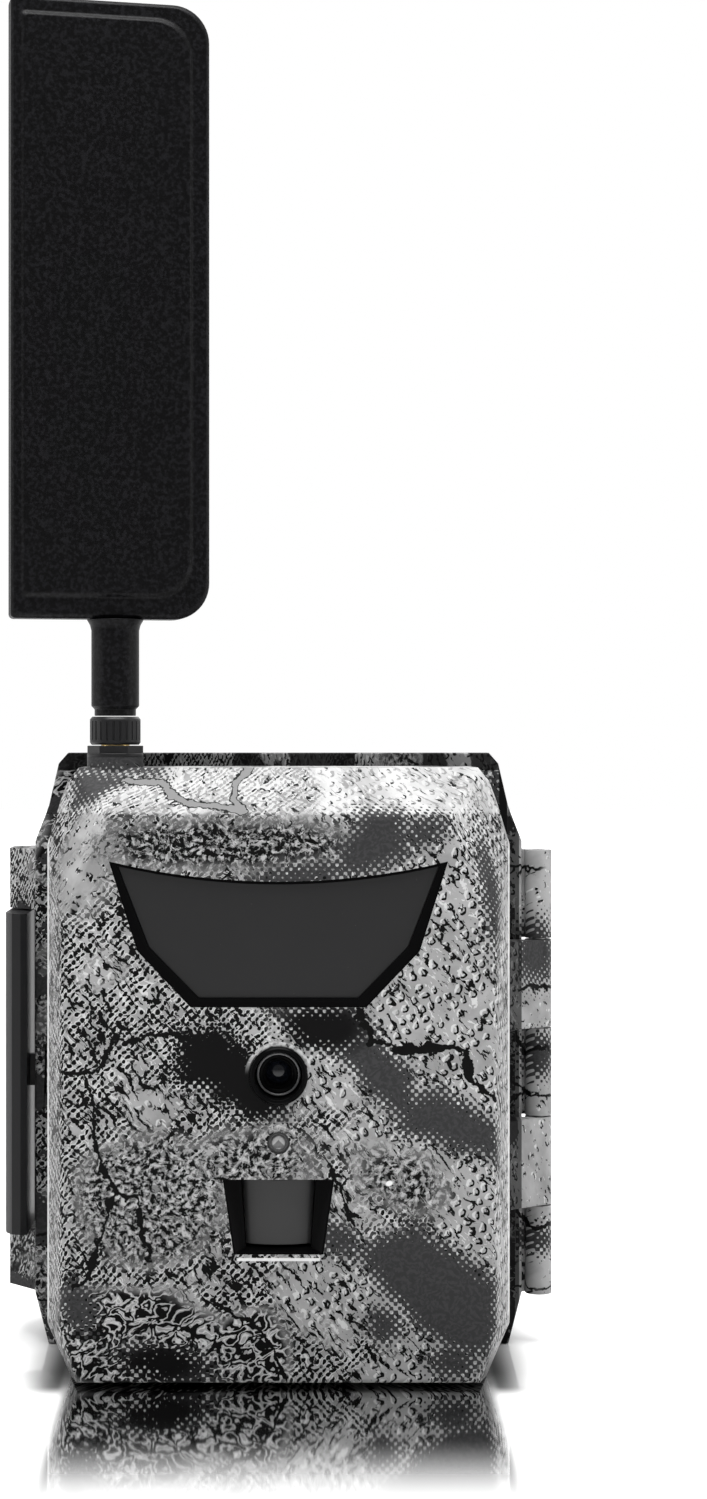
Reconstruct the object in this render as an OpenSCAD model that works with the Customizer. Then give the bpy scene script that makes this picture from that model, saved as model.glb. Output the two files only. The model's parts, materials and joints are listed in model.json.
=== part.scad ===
// Cellular trail camera: a rear housing, a front housing that swings on a side hinge, a latch lever
// and a swivelling paddle antenna. Millimetres, +Z up, the lens looks along -Y.
// The origin is on the bottom face, under the middle of the bounding box; the housings meet at Y = 0.

/* [Housings] */
// Height of the rear housing
body_h = 134; // [132:1:136]
// Width of the rear housing's rim, without the latch and hinge
rear_w = 110.4; // [109:0.2:112]
// Height of the front housing
front_h = 131; // [129:0.5:132]
// Width of the front housing
front_w = 99.6; // [98:0.2:101]
// Depth of the front housing, from the seam to the flat front face
front_d = 38; // [37:0.5:39]
// Depth of the rear housing, without the tree bracket
rear_d = 24; // [24:0.5:25]
// Wall thickness of both housings
wall = 2.4; // [2.2:0.1:2.6]
// Gap between the closed housings
seam = 0.3; // [0.2:0.05:0.4]

/* [Front face] */
// Height of the top bevel on the front face
top_bevel_h = 10.3; // [9:0.1:11]
// Depth of the bevels round the front face
bevel_d = 10; // [9:0.5:11]
// Width of the side bevels
side_bevel_w = 3.9; // [3:0.1:4.5]
// Height of the lens axis above the bottom
lens_z = 66; // [65:0.5:67]
// Radius of the lens bezel
lens_r = 6.2; // [6:0.1:6.4]
// Height of the status lens above the bottom
status_z = 51.7; // [51:0.1:52.5]

/* [Antenna] */
// Distance of the antenna's axis to the left of the middle
antenna_x = 35.5; // [35:0.1:36]
// Depth of the antenna's axis in front of the seam
antenna_y = 23; // [22.5:0.5:23.5]
// Angle of the blade about the antenna's axis
antenna_yaw = 12; // [0:1:15]
// Width of the blade
blade_w = 43.4; // [40:0.2:44]
// Height of the blade
blade_h = 133.8; // [120:0.2:136]
// Thickness of the blade
blade_t = 8; // [7:0.5:8]
// Radius of the stem
stem_r = 5.2; // [5:0.1:5.4]

/* [Latch and hinge] */
// Radius of the hinge knuckles
knuckle_r = 3; // [2.9:0.05:3]
// Height of the bottom of the hinge and of the latch lugs
side_z0 = 11.5; // [11:0.5:12.5]
// Height of the top of the hinge and of the latch lugs
side_z1 = 112; // [111:0.5:113]
// Height of each of the two latch lugs
lug_h = 13.8; // [13:0.1:15]

/* [Hidden] */
$fn = 48;
eps = 0.01;
rear_hw = rear_w / 2;
front_hw = front_w / 2;
front_y = -front_d;
bevel_y = front_y + bevel_d;
bracket_y = front_d + 1.3;
blade_shift = -1.3;

// The rim of the opening between the two housings, measured in from the front housing's outline
rim_in = 4.4;
cavity_s = rear_hw - front_hw + rim_in + 0.2;
cavity_t = body_h - front_h + rim_in + 0.2;
cavity_b = rim_in + 0.2;
rim_d = 7;
back_wall = 2.8;
shell_s = cavity_s - back_wall;
shell_t = cavity_t - back_wall;
back_taper = 3;

hinge_x = 59;
hinge_y = 1;
hinge_pin_r = 1.5;
latch_x = -59;
latch_y = 14;
latch_pin_r = 1.25;
side_x = 62;
run_fit = 0.05;
knuckle_gap = 0.35;
knuckle_l = (side_z1 - side_z0) / 5;

cell_r = 7.1;
cell_l = 50.5;
cell_pitch = 16.4;
cell_xs = [for (i = [-1.5:1:1.5]) i * cell_pitch];
cell_y = 11;
spring_l = 4.6;
tray_wall = 1.4;
tray_z0 = 9;
tray_row = cell_l + spring_l + tray_wall;
tray_hw = 2 * cell_pitch - 0.2;
tray_y1 = 19.4;
contact_hw = 5.2;
pad_x = 39;
pad_zs = [76, 81, 86, 91];
insert_z0 = 0.3;
insert_r = 2.55;
ridge_x = 22;
ridge_t = 5;
ridge_z0 = 34;
ridge_z1 = 100;
strap_y0 = 28;
strap_y1 = 33.5;
strap_z0 = 44;
strap_z1 = 72;
cable_y = 31;
cable_z = 86;
cable_r = 4.2;
lever_z0 = side_z0 + lug_h + knuckle_gap;
lever_z1 = side_z1 - lug_h - knuckle_gap;
tray_posts = [[-40, 22], [40, 22], [-40, 106], [40, 106]];
bracket_posts = [[-37.2, 36], [37.2, 36], [-37.2, 98], [37.2, 98]];

panel_y0 = -4.2;
panel_y1 = -2.2;
panel_posts = [[-41, 22], [41, 22], [-42.5, 66], [42.5, 66], [-40, 112], [40, 112]];
board_y = -12.6;
board_t = 1.6;
bay_z0 = 9;
bay_z1 = 40;
bay_hw = 35;
bay_y = -14;
key_z = 72;
key_r = 3.2;
key_pitch = 9.5;
lcd_z = 104;
sd_x = -22.5;
sd_y = -8.6;
sd_hw = 12;
sd_t = 1.05;
sim_x = 27;
sim_y = -9.2;
sim_hw = 6;
sim_t = 0.4;
card_out = 2.5;
switch_x = 30;
switch_z = 66;
jack_x = 22;
jack_y = -22;
jack_h = 12;
cap_t = 2;
jack_seat = front_h - wall - 1.1;
jack_top = front_h + 10;
nut_z0 = front_h + 4.9;
nut_z1 = front_h + 11;
stem_z0 = nut_z1 + 0.2;
stem_z1 = nut_z1 + 21.1;

// ---- helpers ----

// Both halves of an outline from its right half, listed from the bottom up
function both(half) = concat(half, [for (i = [len(half) - 1:-1:0]) [-half[i][0], half[i][1]]]);

// A slab of a front-view outline, from depth y0 to depth y1
module slab(y0, y1) translate([0, y1, 0]) rotate([90, 0, 0]) linear_extrude(y1 - y0) children();

// A prism of a plan-view outline, from height z0 to height z1
module prism(z0, z1) translate([0, 0, z0]) linear_extrude(z1 - z0) children();

// A round bar along Y from depth y0 to depth y1
module bar_y(r, y0, y1) translate([0, y1, 0]) rotate([90, 0, 0]) cylinder(r = r, h = y1 - y0);

// A round bar along Z from height z0 to height z1
module bar_z(r, z0, z1) translate([0, 0, z0]) cylinder(r = r, h = z1 - z0);

// A block given by its lowest and highest corners
module block(low, high) translate(low) cube(high - low);

// A pan-head screw along Y: its head is at depth y and its shank goes towards s * Y
module screw_y(y, length, s, r = 1.25, head_r = 2.5, head_h = 1.5) {
    translate([0, y, 0]) rotate([s > 0 ? -90 : 90, 0, 0]) difference() {
        union() {
            cylinder(r = head_r, h = head_h);
            cylinder(r = r, h = length);
        }
        for (a = [0, 90]) rotate(a) translate([-head_r * 0.6, -0.3, -eps]) cube([head_r * 1.2, 0.6, 0.8]);
    }
}

// Rear outline, taken in by s at the sides, t at the top and b at the bottom
module rear_outline(s = 0, t = 0, b = 0) {
    polygon(both([
        [rear_hw - 3 - s, b],
        [rear_hw - s, 11.7],
        [rear_hw - s, body_h - 20 - t / 2],
        [rear_hw - 3.1 - s, body_h - 12 - t],
        [rear_hw - 5.3 - s, body_h - 2.5 - t],
        [rear_hw - 7.5 - s, body_h - t],
    ]));
}

// Front outline at the back edge of the bevels, taken in by i all round
module front_outline(i = 0) {
    polygon(both([
        [front_hw - 5 - i, i],
        [front_hw - i, 11.5],
        [front_hw - i, front_h - 16.5 - i / 2],
        [front_hw - 2.9 - i, front_h - 7 - i],
        [front_hw - 4.4 - i, front_h - 2.9 - i],
        [front_hw - 6.8 - i, front_h - i],
    ]));
}

// Flat front face, taken in by i all round
module face_outline(i = 0) {
    polygon(both([
        [front_hw - side_bevel_w - 3.5 - i, 0.8 + i],
        [front_hw - side_bevel_w - i, 12.3],
        [front_hw - side_bevel_w - i, front_h - 31.5 - i / 2],
        [front_hw - side_bevel_w - 10 - i, front_h - top_bevel_h - i],
    ]));
}

// ---- rear housing and what it carries ----

// Plan outline of a latch lug: its front edge sweeps back towards the outside
module lug_outline() {
    polygon([
        [-rear_hw + 2, 0.5], [-side_x, 10], [-side_x, latch_y + 4.5], [-side_x + 4, latch_y + 8.5],
        [-rear_hw + 11, latch_y + 8.5], [-rear_hw + 8.6, rim_d], [-rear_hw + 2, rim_d],
    ]);
}

// Heights of the hinge knuckles: five of one length, with a gap between neighbours
module knuckles(first, arm) {
    for (i = [first:2:4]) {
        low = side_z0 + i * knuckle_l + (i == 0 ? 0 : knuckle_gap / 2);
        high = side_z0 + (i + 1) * knuckle_l - (i == 4 ? 0 : knuckle_gap / 2);
        translate([hinge_x, hinge_y, 0]) bar_z(knuckle_r, low, high);
        prism(low, high) polygon(arm);
    }
}

// The seal's ring, w wider than the seal on both sides
module seal_ring(w = 0) {
    difference() {
        front_outline(1.1 - w);
        front_outline(3.3 + w);
    }
}

module rear_housing() color("dimgray") {
    difference() {
        union() {
            slab(0, rim_d) rear_outline();
            hull() {
                slab(rim_d - 1, rim_d) rear_outline(shell_s, shell_t);
                slab(rear_d - 0.5, rear_d) rear_outline(shell_s + back_taper, shell_t + back_taper);
            }
            for (z = [side_z0, side_z1 - lug_h]) prism(z, z + lug_h) lug_outline();
            knuckles(0, [
                [rear_hw - 1, 1.5], [hinge_x, hinge_y + 0.6],
                [hinge_x + knuckle_r * 0.7, hinge_y + knuckle_r * 0.7],
                [rear_hw + 1, rim_d], [rear_hw - 1, rim_d],
            ]);
        }
        difference() {
            hull() {
                slab(-1, rim_d) rear_outline(cavity_s, cavity_t, cavity_b);
                slab(rear_d - back_wall - 0.5, rear_d - back_wall)
                    rear_outline(cavity_s + back_taper, cavity_t + back_taper, cavity_b);
            }
            for (p = tray_posts) translate([p[0], 0, p[1]]) bar_y(3.2, 3.4, rear_d);
            for (p = bracket_posts) translate([p[0], 0, p[1]]) bar_y(2.8, rear_d - 9, rear_d);
            translate([0, cell_y + 1, 0]) bar_z(6.4, 0, 8.6);
        }
        slab(-1, 2.2) seal_ring();
        for (p = tray_posts) translate([p[0], 0, p[1]]) bar_y(1.25, 0, 14);
        for (p = bracket_posts) translate([p[0], 0, p[1]]) bar_y(1.25, rear_d - 8, rear_d + 1);
        translate([0, cell_y + 1, 0]) bar_z(4.2, -1, 8);
        translate([hinge_x, hinge_y, 0]) bar_z(hinge_pin_r, side_z0 + 2, side_z1 + 1);
        translate([latch_x, latch_y, 0]) bar_z(latch_pin_r, side_z0 + 4, side_z1 + 1);
        // Slot for the catch tab, and the notch through which the lever's hook reaches it
        block([-53, -1, 56], [-50.2, 5.4, 68]);
        block([-rear_hw - 1, 0.8, 57.4], [-52, 3.8, 66.6]);
    }
}

module housing_seal() color("black") slab(0, 2.2) seal_ring();

// Places of the cells: four columns in two rows
function row_z(row) = tray_z0 + tray_wall + row * tray_row;

module battery_tray() color("black") difference() {
    union() {
        block([-tray_hw, 3, tray_z0], [tray_hw, tray_y1, tray_z0 + 2 * tray_row + tray_wall]);
        slab(1.4, 3) rear_outline(cavity_s + 0.5, cavity_t + 0.5, cavity_b + 0.5);
    }
    for (row = [0, 1], x = cell_xs)
        block([x - cell_r - 0.5, 0, row_z(row)], [x + cell_r + 0.5, cell_y, row_z(row) + cell_l + spring_l]);
    for (row = [0, 1], x = cell_xs)
        translate([x, cell_y, 0]) bar_z(cell_r + 0.5, row_z(row), row_z(row) + cell_l + spring_l);
    for (p = tray_posts) translate([p[0], 0, p[1]]) bar_y(1.5, 0, 4);
    for (z = pad_zs) block([pad_x - 2, 0, z - 2], [pad_x + 2, 2.2, z + 2]);
}

// Neighbouring columns point opposite ways
function points_up(i, row) = (i + row) % 2 == 0;

module aa_cells() color("goldenrod") for (row = [0, 1], i = [0:3]) {
    up = points_up(i, row);
    z = row_z(row) + (up ? spring_l : 0);
    translate([cell_xs[i], cell_y, z + (up ? 0 : cell_l)]) mirror([0, 0, up ? 0 : 1]) {
        cylinder(r = cell_r, h = cell_l - 2);
        cylinder(r = 2.7, h = cell_l - 0.5);
    }
}

module battery_springs() color("silver") for (row = [0, 1], i = [0:3]) {
    up = points_up(i, row);
    z = up ? row_z(row) + 0.5 : row_z(row) + cell_l + spring_l - 0.5;
    translate([cell_xs[i], cell_y, z]) mirror([0, 0, up ? 0 : 1])
        for (k = [0:3]) translate([0, 0, 0.55 + k * 0.8])
            rotate_extrude() translate([5 - k * 0.6, 0]) circle(r = 0.55);
}

// Each plate spans one end of a cell
module battery_contacts() color("silver") for (row = [0, 1], i = [0:3], top = [0, 1]) {
    z = row_z(row) + top * (cell_l + spring_l - 0.4);
    translate([cell_xs[i], cell_y, z])
        block([-contact_hw, -contact_hw, 0], [contact_hw, contact_hw, 0.4]);
}

module power_pads() color("gold") for (z = pad_zs)
    block([pad_x - 2, 1, z - 2], [pad_x + 2, 2.2, z + 2]);

module tray_screws() color("silver") for (p = tray_posts)
    translate([p[0], 0, p[1]]) screw_y(-0.1, 9.5, 1);

// ---- tree bracket ----

// One toothed ridge of the saddle, seen from the side
module ridge_outline() {
    teeth = 15;
    step = (ridge_z1 - ridge_z0) / teeth;
    polygon(concat(
        [[rear_d + 2, ridge_z0 - 4], [bracket_y - 2.4, ridge_z0]],
        [for (i = [0:teeth - 1], k = [0, 1])
            [bracket_y - (k == 0 ? 0 : 2.4), ridge_z0 + (i + (k == 0 ? 0.5 : 1)) * step]],
        [[rear_d + 2, ridge_z1 + 4]]
    ));
}

module tree_bracket() color("dimgray") difference() {
    union() {
        slab(rear_d, rear_d + 2.4) translate([0, 67]) offset(r = 4, $fn = 32) square([76, 64], center = true);
        for (s = [-1, 1]) translate([s * ridge_x - ridge_t / 2, 0, 0])
            rotate([90, 0, 90]) linear_extrude(ridge_t) ridge_outline();
        for (z = [ridge_z0 + 4, ridge_z1 - 8])
            block([-ridge_x, rear_d + 2, z], [ridge_x, rear_d + 7, z + 4]);
    }
    // Strap slots and the hole for a lock cable, through both ridges
    for (s = [-1, 1]) block([s * ridge_x - 5, strap_y0, strap_z0], [s * ridge_x + 5, strap_y1, strap_z1]);
    translate([0, cable_y, cable_z]) rotate([0, 90, 0]) cylinder(r = cable_r, h = 80, center = true);
    for (p = bracket_posts) translate([p[0], 0, p[1]]) bar_y(1.5, rear_d - 1, bracket_y);
}

module bracket_screws() color("silver") for (p = bracket_posts)
    translate([p[0], 0, p[1]]) screw_y(rear_d + 3.9, 9, -1);

module tripod_insert() color("goldenrod") translate([0, cell_y + 1, 0]) difference() {
    bar_z(4.2, insert_z0, 8);
    bar_z(insert_r, insert_z0 - 1, 9);
    for (z = [2.8, 5.2]) translate([0, 0, z]) difference() {
        cylinder(r = 5, h = 0.8);
        translate([0, 0, -1]) cylinder(r = 3.8, h = 3);
    }
}

// ---- hinge pin and latch ----

module hinge_pin() color("silver") translate([hinge_x, hinge_y, 0])
    bar_z(hinge_pin_r, side_z0 + 2, side_z1 - 0.5);

module latch_pin() color("silver") translate([latch_x, latch_y, 0])
    bar_z(latch_pin_r, side_z0 + 4, side_z1 - 3);

module latch_lever() color("black") difference() {
    union() {
        prism(lever_z0, lever_z1) polygon([
            [-side_x + 0.1, latch_y], [-side_x + 0.1, 0], [-side_x + 0.6, -2.6], [-side_x + 2, -4.6],
            [-side_x + 4, -5.4], [-side_x + 5.4, -5], [-side_x + 5.5, -3.5], [-side_x + 5.5, latch_y - 2],
            [latch_x + 1.6, latch_y],
        ]);
        translate([latch_x, latch_y, 0]) bar_z(2.9, lever_z0, lever_z1);
        block([-side_x + 5, 1.2, 58.4], [-52.9, 3.2, 65.6]);
    }
    translate([latch_x, latch_y, 0]) bar_z(latch_pin_r + run_fit, lever_z0 - 1, lever_z1 + 1);
}

// ---- front housing and its windows ----

// Infrared panel's outline, taken in by i all round; its top edge is a shallow concave arc
ir_arc_r = 152.5;
function ir_top(x) = 107 + ir_arc_r - sqrt(ir_arc_r * ir_arc_r - x * x);
module ir_outline(i = 0) {
    top_hw = 35.9 - 0.95 * i;
    side = [[18.6 - 0.9 * i, 80.4 + i], [29.9 - 1.3 * i, 92.3 + 0.4 * i]];
    polygon(concat(
        side,
        [for (k = [8:-1:-8]) [k / 8 * top_hw, ir_top(k / 8 * top_hw) - 0.3 * max(i, 0)]],
        [[-side[1][0], side[1][1]], [-side[0][0], side[0][1]]]
    ));
}

// Motion sensor window's outline, taken in by i all round
module pir_outline(i = 0) {
    polygon(both([[9.5 - i, 28.1 + i], [11.8 - i, 44 - i]]));
}

module front_shape(i = 0) hull() {
    slab(front_y + i, front_y + i + 0.5) face_outline(i);
    slab(bevel_y + i, -seam) front_outline(i);
}

module antenna_place() translate([-antenna_x, -antenna_y, 0]) children();

module front_housing() color("darkgray") difference() {
    union() {
        difference() {
            front_shape();
            difference() {
                intersection() {
                    front_shape(wall);
                    slab(front_y, -4) square([200, 400], center = true);
                }
                for (p = panel_posts) translate([p[0], 0, p[1]]) bar_y(3, front_y, panel_y0);
                translate([jack_x, jack_y, 0]) bar_z(7.6, 0, 4);
            }
            slab(-5, 0) front_outline(rim_in);
        }
        antenna_place() bar_z(6.1, jack_seat, front_h + 2.2);
        // Raised hood over the status lens
        slab(front_y - 0.5, front_y + 0.5) translate([0, status_z]) difference() {
            circle(r = 4.5);
            circle(r = 3.5);
            translate([-6, -7]) square([12, 6]);
        }
        knuckles(1, [
            [front_hw - 2, -9], [front_hw + 1.5, -8.2], [hinge_x + 1.6, hinge_y - 2.2],
            [hinge_x, hinge_y], [hinge_x - 2.8, -0.6], [front_hw - 2, -0.6],
        ]);
        // Catch tab for the latch
        block([-52.2, -3.6, 57.6], [-front_hw + 1, -0.6, 66.4]);
        block([-52.2, -3, 57.6], [-50.8, 4.6, 66.4]);
    }
    slab(front_y - 1, front_y + 4) ir_outline();
    slab(front_y - 1, front_y + 4) pir_outline();
    translate([0, 0, lens_z]) bar_y(lens_r, front_y - 1, front_y + 4);
    translate([0, 0, status_z]) bar_y(2.4, front_y - 1, front_y + 4);
    antenna_place() bar_z(3.1, front_h - 5, front_h + 4);
    translate([jack_x, jack_y, 0]) {
        bar_z(6.2, -1, cap_t);
        bar_z(3.4, 0, 5);
    }
    for (p = panel_posts) translate([p[0], 0, p[1]]) bar_y(1.25, panel_y0 - 7, 0);
    translate([hinge_x, hinge_y, 0]) bar_z(hinge_pin_r + run_fit, side_z0, side_z1);
}

module ir_bezel() color("black") difference() {
    union() {
        slab(front_y + 0.3, front_y + 3) ir_outline();
        slab(front_y + wall, front_y + 4) ir_outline(-1.4);
    }
    slab(front_y - 1, front_y + 3) ir_outline(1.9);
    slab(front_y - 1, front_y + 5) ir_outline(3.2);
}

module ir_window() color([0.2, 0.2, 0.21]) slab(front_y + 0.9, front_y + 3) ir_outline(1.9);

module ir_led_board() color("darkgreen") slab(-30.4, -29) ir_outline(0.6);

// Places of the infrared emitters: rows that fit inside the panel's outline
ir_places = [for (row = [0:3], k = [-6:6]) let (x = (k + (row % 2) / 2) * 5.6, z = 86.4 + row * 5.4)
    if (abs(x) < (row == 0 ? 17 : row == 1 ? 24 : 29)) [x, z]];
module ir_leds() color("gray") for (p = ir_places) translate([p[0], 0, p[1]]) {
    bar_y(2, -32.2, -30.4);
    translate([0, -32.2, 0]) sphere(r = 1.75, $fn = 24);
}

module lens_bezel() color("black") translate([0, front_y, lens_z]) rotate([-90, 0, 0]) rotate_extrude()
    polygon([[5.1, -1.3], [5.7, -1.3], [lens_r, -0.8], [lens_r, 6], [4.2, 6], [4.2, 3.2], [4.9, 2.4]]);

module lens_barrel() color("black") translate([0, front_y, lens_z]) rotate([-90, 0, 0]) rotate_extrude()
    polygon([[3.2, 2.6], [3.9, 2.2], [4.2, 2.4], [4.2, 7], [6.6, 7], [6.6, 20.4], [4, 20.4], [4, 9],
        [2.6, 8], [2.6, 5.2]]);

module lens_element() color([0.1, 0.12, 0.2]) translate([0, front_y, lens_z]) intersection() {
    bar_y(2.6, 5, 8);
    translate([0, 5.6 + 5, 0]) sphere(r = 5);
}

module sensor_board() color("darkgreen") translate([0, 0, lens_z])
    block([-9, front_y + 20.4, -9], [9, front_y + 21.6, 9]);

module image_sensor() color("dimgray") translate([0, 0, lens_z])
    block([-2.7, front_y + 19.4, -2.2], [2.7, front_y + 20.4, 2.2]);

module status_lens() color("gray") translate([0, 0, status_z]) {
    bar_y(2.3, front_y + 0.8, front_y + 5);
    translate([0, front_y + 2.2, 0]) sphere(r = 2.25);
}

module pir_bezel() color("black") difference() {
    union() {
        slab(front_y + 0.3, front_y + 4) pir_outline();
        slab(front_y + wall, front_y + 6) pir_outline(-1.2);
    }
    slab(front_y - 1, front_y + 7) polygon(both([[6.9, 29.2], [8, 44.4]]));
    hull() {
        slab(front_y - 1, front_y + 0.2) pir_outline(0.3);
        slab(front_y + 2.2, front_y + 2.4) polygon(both([[6.9, 29.2], [8, 43.7]]));
    }
}

module pir_lens() color([0.24, 0.24, 0.24]) intersection() {
    difference() {
        translate([0, front_y + 17, 0]) bar_z(15, 29.8, 43.6);
        translate([0, front_y + 17, 0]) bar_z(14.3, 29, 45);
    }
    slab(front_y, front_y + 6) polygon(both([[6.8, 29], [7.9, 44]]));
}

module pir_sensor() color("silver") translate([0, 0, 36]) difference() {
    union() {
        bar_y(4.1, -24.6, -20.4);
        bar_y(4.6, -21, -20.4);
    }
    block([-2, -25, -1.5], [2, -24.3, 1.5]);
}

module pir_board() color("darkgreen") block([-11, -20.4, 26], [11, -19, 46]);

// ---- electronics in the front housing ----

module main_board() color("darkgreen") block([-36.5, board_y, 42], [36.5, board_y + board_t, 108]);

module cellular_module() color("silver") block([-36.5, board_y - 3.4, 78], [-9, board_y, 106]);

module antenna_coax() color("saddlebrown") translate([-antenna_x, -antenna_y, 0]) {
    bend = 5;
    end_z = 96;
    bar_z(0.9, end_z + bend, 118);
    translate([0, bend, end_z + bend]) rotate([0, 90, 0]) rotate_extrude(angle = 90, start = -90)
        translate([bend, 0]) circle(r = 0.9);
    translate([0, 0, end_z]) bar_y(0.9, bend, antenna_y + board_y - 3.4);
}

// A card's socket: half width hw, from depth y to the board, up to height z
module socket(x, hw, y, half_t, z) difference() {
    block([x - hw - 1.3, board_y + board_t, bay_z1 + 1.6], [x + hw + 1.3, y + half_t + 0.9, z]);
    block([x - hw - 0.25, y - half_t - 0.2, bay_z1], [x + hw + 0.25, y + half_t + 0.2, z - 1]);
}

// A flash card with one clipped corner and contacts' recess left off its smooth face
module card(x, y, half_w, half_t, length, clip) slab(y - half_t, y + half_t) translate([x, bay_z1 - card_out])
    polygon([[-half_w, 0], [half_w, 0], [half_w, length - clip], [half_w - clip, length], [-half_w, length]]);

module sd_socket() color("silver") socket(sd_x, sd_hw, sd_y, sd_t, 62);
module sd_card() color("navy") card(sd_x, sd_y, sd_hw, sd_t, 23, 3);
module sim_socket() color("silver") socket(sim_x, sim_hw, sim_y, sim_t, 55);
module sim_card() color("white") card(sim_x, sim_y, sim_hw, sim_t, 15, 2.4);

// Places of the five keys, in front view
function key_at(x, z) = [x * key_pitch, key_z + z * key_pitch];
key_places = [key_at(0, 1), key_at(0, -1), key_at(-1, 0), key_at(1, 0), key_at(0, 0)];

module inner_panel() color("black") difference() {
    union() {
        slab(panel_y0, panel_y1) front_outline(rim_in + 0.3);
        block([-bay_hw - 1.4, bay_y - 1.4, bay_z0 - 1.4], [bay_hw + 1.4, panel_y0, bay_z1 + 1.4]);
    }
    block([-bay_hw, bay_y, bay_z0], [bay_hw, 0, bay_z1]);
    block([-22, -6, lcd_z - 16.5], [22, 0, lcd_z + 16.5]);
    block([-23, panel_y0 - 1, lcd_z - 17.5], [23, panel_y1 - 0.5, lcd_z + 17.5]);
    for (p = key_places) translate([p[0], 0, p[1]]) bar_y(key_r + 0.3, panel_y0 - 1, 0);
    block([switch_x - 5.4, -6, switch_z - 1.9], [switch_x + 5.4, 0, switch_z + 1.9]);
    block([sd_x - 12.3, sd_y - 1.3, bay_z1 - 1], [sd_x + 12.3, sd_y + 1.3, bay_z1 + 2]);
    block([sim_x - 6.3, sim_y - 0.7, bay_z1 - 1], [sim_x + 6.3, sim_y + 0.7, bay_z1 + 2]);
    for (z = pad_zs) block([pad_x - 1.5, -6, z - 1.5], [pad_x + 1.5, 0, z + 1.5]);
    for (p = panel_posts) translate([p[0], 0, p[1]]) bar_y(1.4, -6, 0);
}

module panel_screws() color("silver") for (p = panel_posts)
    translate([p[0], 0, p[1]]) screw_y(panel_y1 + 1.3, 8, -1, head_r = 2.3, head_h = 1.3);

module screen_module() color("silver") block([-26, -9.6, lcd_z - 18.5], [26, -5, lcd_z + 18.5]);

module screen_window() color([0.1, 0.1, 0.12])
    block([-23, panel_y0 - 0.5, lcd_z - 17.5], [23, panel_y1 - 0.5, lcd_z + 17.5]);

module key_switches() color("silver") for (p = key_places) translate([p[0], 0, p[1]]) {
    block([-2.6, board_y + board_t, -2.6], [2.6, board_y + board_t + 1.1, 2.6]);
    bar_y(1.4, board_y + board_t + 1, board_y + board_t + 1.5);
}

module key(i) color("gray") translate([key_places[i][0], 0, key_places[i][1]]) {
    bar_y(key_r, -5, -1.2);
    bar_y(key_r + 0.7, -6.2, -5);
    bar_y(1.5, -8.5, -6.2);
}
module key_up() key(0);
module key_down() key(1);
module key_left() key(2);
module key_right() key(3);
module key_ok() key(4);

module power_switch_body() color("silver") difference() {
    block([switch_x - 7, board_y + board_t, switch_z - 3.6], [switch_x + 7, -5.4, switch_z + 3.6]);
    block([switch_x - 5.4, -8.2, switch_z - 1.9], [switch_x + 5.4, -5, switch_z + 1.9]);
}

module power_switch_knob() color("gray")
    block([switch_x - 2, -7.9, switch_z - 1.6], [switch_x + 2, -1.2, switch_z + 1.6]);

module dc_jack() color("black") translate([jack_x, jack_y, 0]) {
    difference() {
        union() {
            bar_z(3.4, cap_t + 0.2, 4);
            block([-4.6, -4.4, 4], [4.6, 4.4, jack_h]);
        }
        bar_z(2.8, 0, jack_h - 1);
    }
    bar_z(1, 3.6, jack_h - 0.5);
}

module dc_jack_cap() color("black") translate([jack_x, jack_y, 0]) {
    difference() {
        union() {
            bar_z(5.9, 0.2, cap_t - 0.1);
            bar_z(2.6, 0.2, 7);
        }
        bar_z(1.4, cap_t, 8);
    }
}

module power_pins() color("gold") for (z = pad_zs) translate([pad_x, 0, z]) {
    bar_y(0.9, -6, -0.3);
    translate([0, -0.3, 0]) sphere(r = 0.9);
    block([-1.4, -7, -1.4], [1.4, -6, 1.4]);
}

// ---- antenna ----

module antenna_jack() color("goldenrod") antenna_place() difference() {
    union() {
        bar_z(3.1, front_h - 13, jack_top);
        bar_z(4.2, jack_seat - 2.6, jack_seat);
    }
    bar_z(1.2, jack_top - 6, jack_top + 1);
}

module antenna_jack_nut() color("black") antenna_place() difference() {
    union() {
        bar_z(6.1, front_h + 2.2, front_h + 3);
        translate([0, 0, front_h + 3]) cylinder(r = 6.1, h = 1.7, $fn = 6);
    }
    bar_z(3.1, front_h, front_h + 6);
}

module antenna_coupling_nut() color("black") antenna_place() difference() {
    rotate_extrude() polygon([[0, nut_z0], [5.1, nut_z0], [5.5, nut_z0 + 0.5], [5.5, nut_z1 - 0.6],
        [5, nut_z1], [0, nut_z1]]);
    bar_z(3.1 + run_fit, nut_z0 - 1, nut_z1 + 1);
    for (a = [0:15:345]) rotate(a) translate([5.5, 0, 0]) bar_z(0.22, nut_z0 + 1, nut_z1 - 1);
}

module antenna_stem() color("black") antenna_place() rotate_extrude() polygon([
    [0, stem_z0], [4.5, stem_z0], [4.5, stem_z0 + 1.4], [stem_r, stem_z0 + 2.1], [stem_r, stem_z1 - 2.4],
    [stem_r + 0.3, stem_z1 - 1.2], [stem_r + 1, stem_z1], [0, stem_z1],
]);

// Blade outline, taken in by i: square corners on one side and round ones on the other
module blade_outline(left = 0, right = 0, top = 0, bottom = 0) {
    hull() {
        for (z = [bottom + 1, blade_h - top - 1])
            translate([-blade_w / 2 + left + 1, z]) circle(r = 1, $fn = 16);
        for (z = [bottom + 8, blade_h - top - 8])
            translate([blade_w / 2 - right - 8, z]) circle(r = 8);
    }
}

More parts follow.
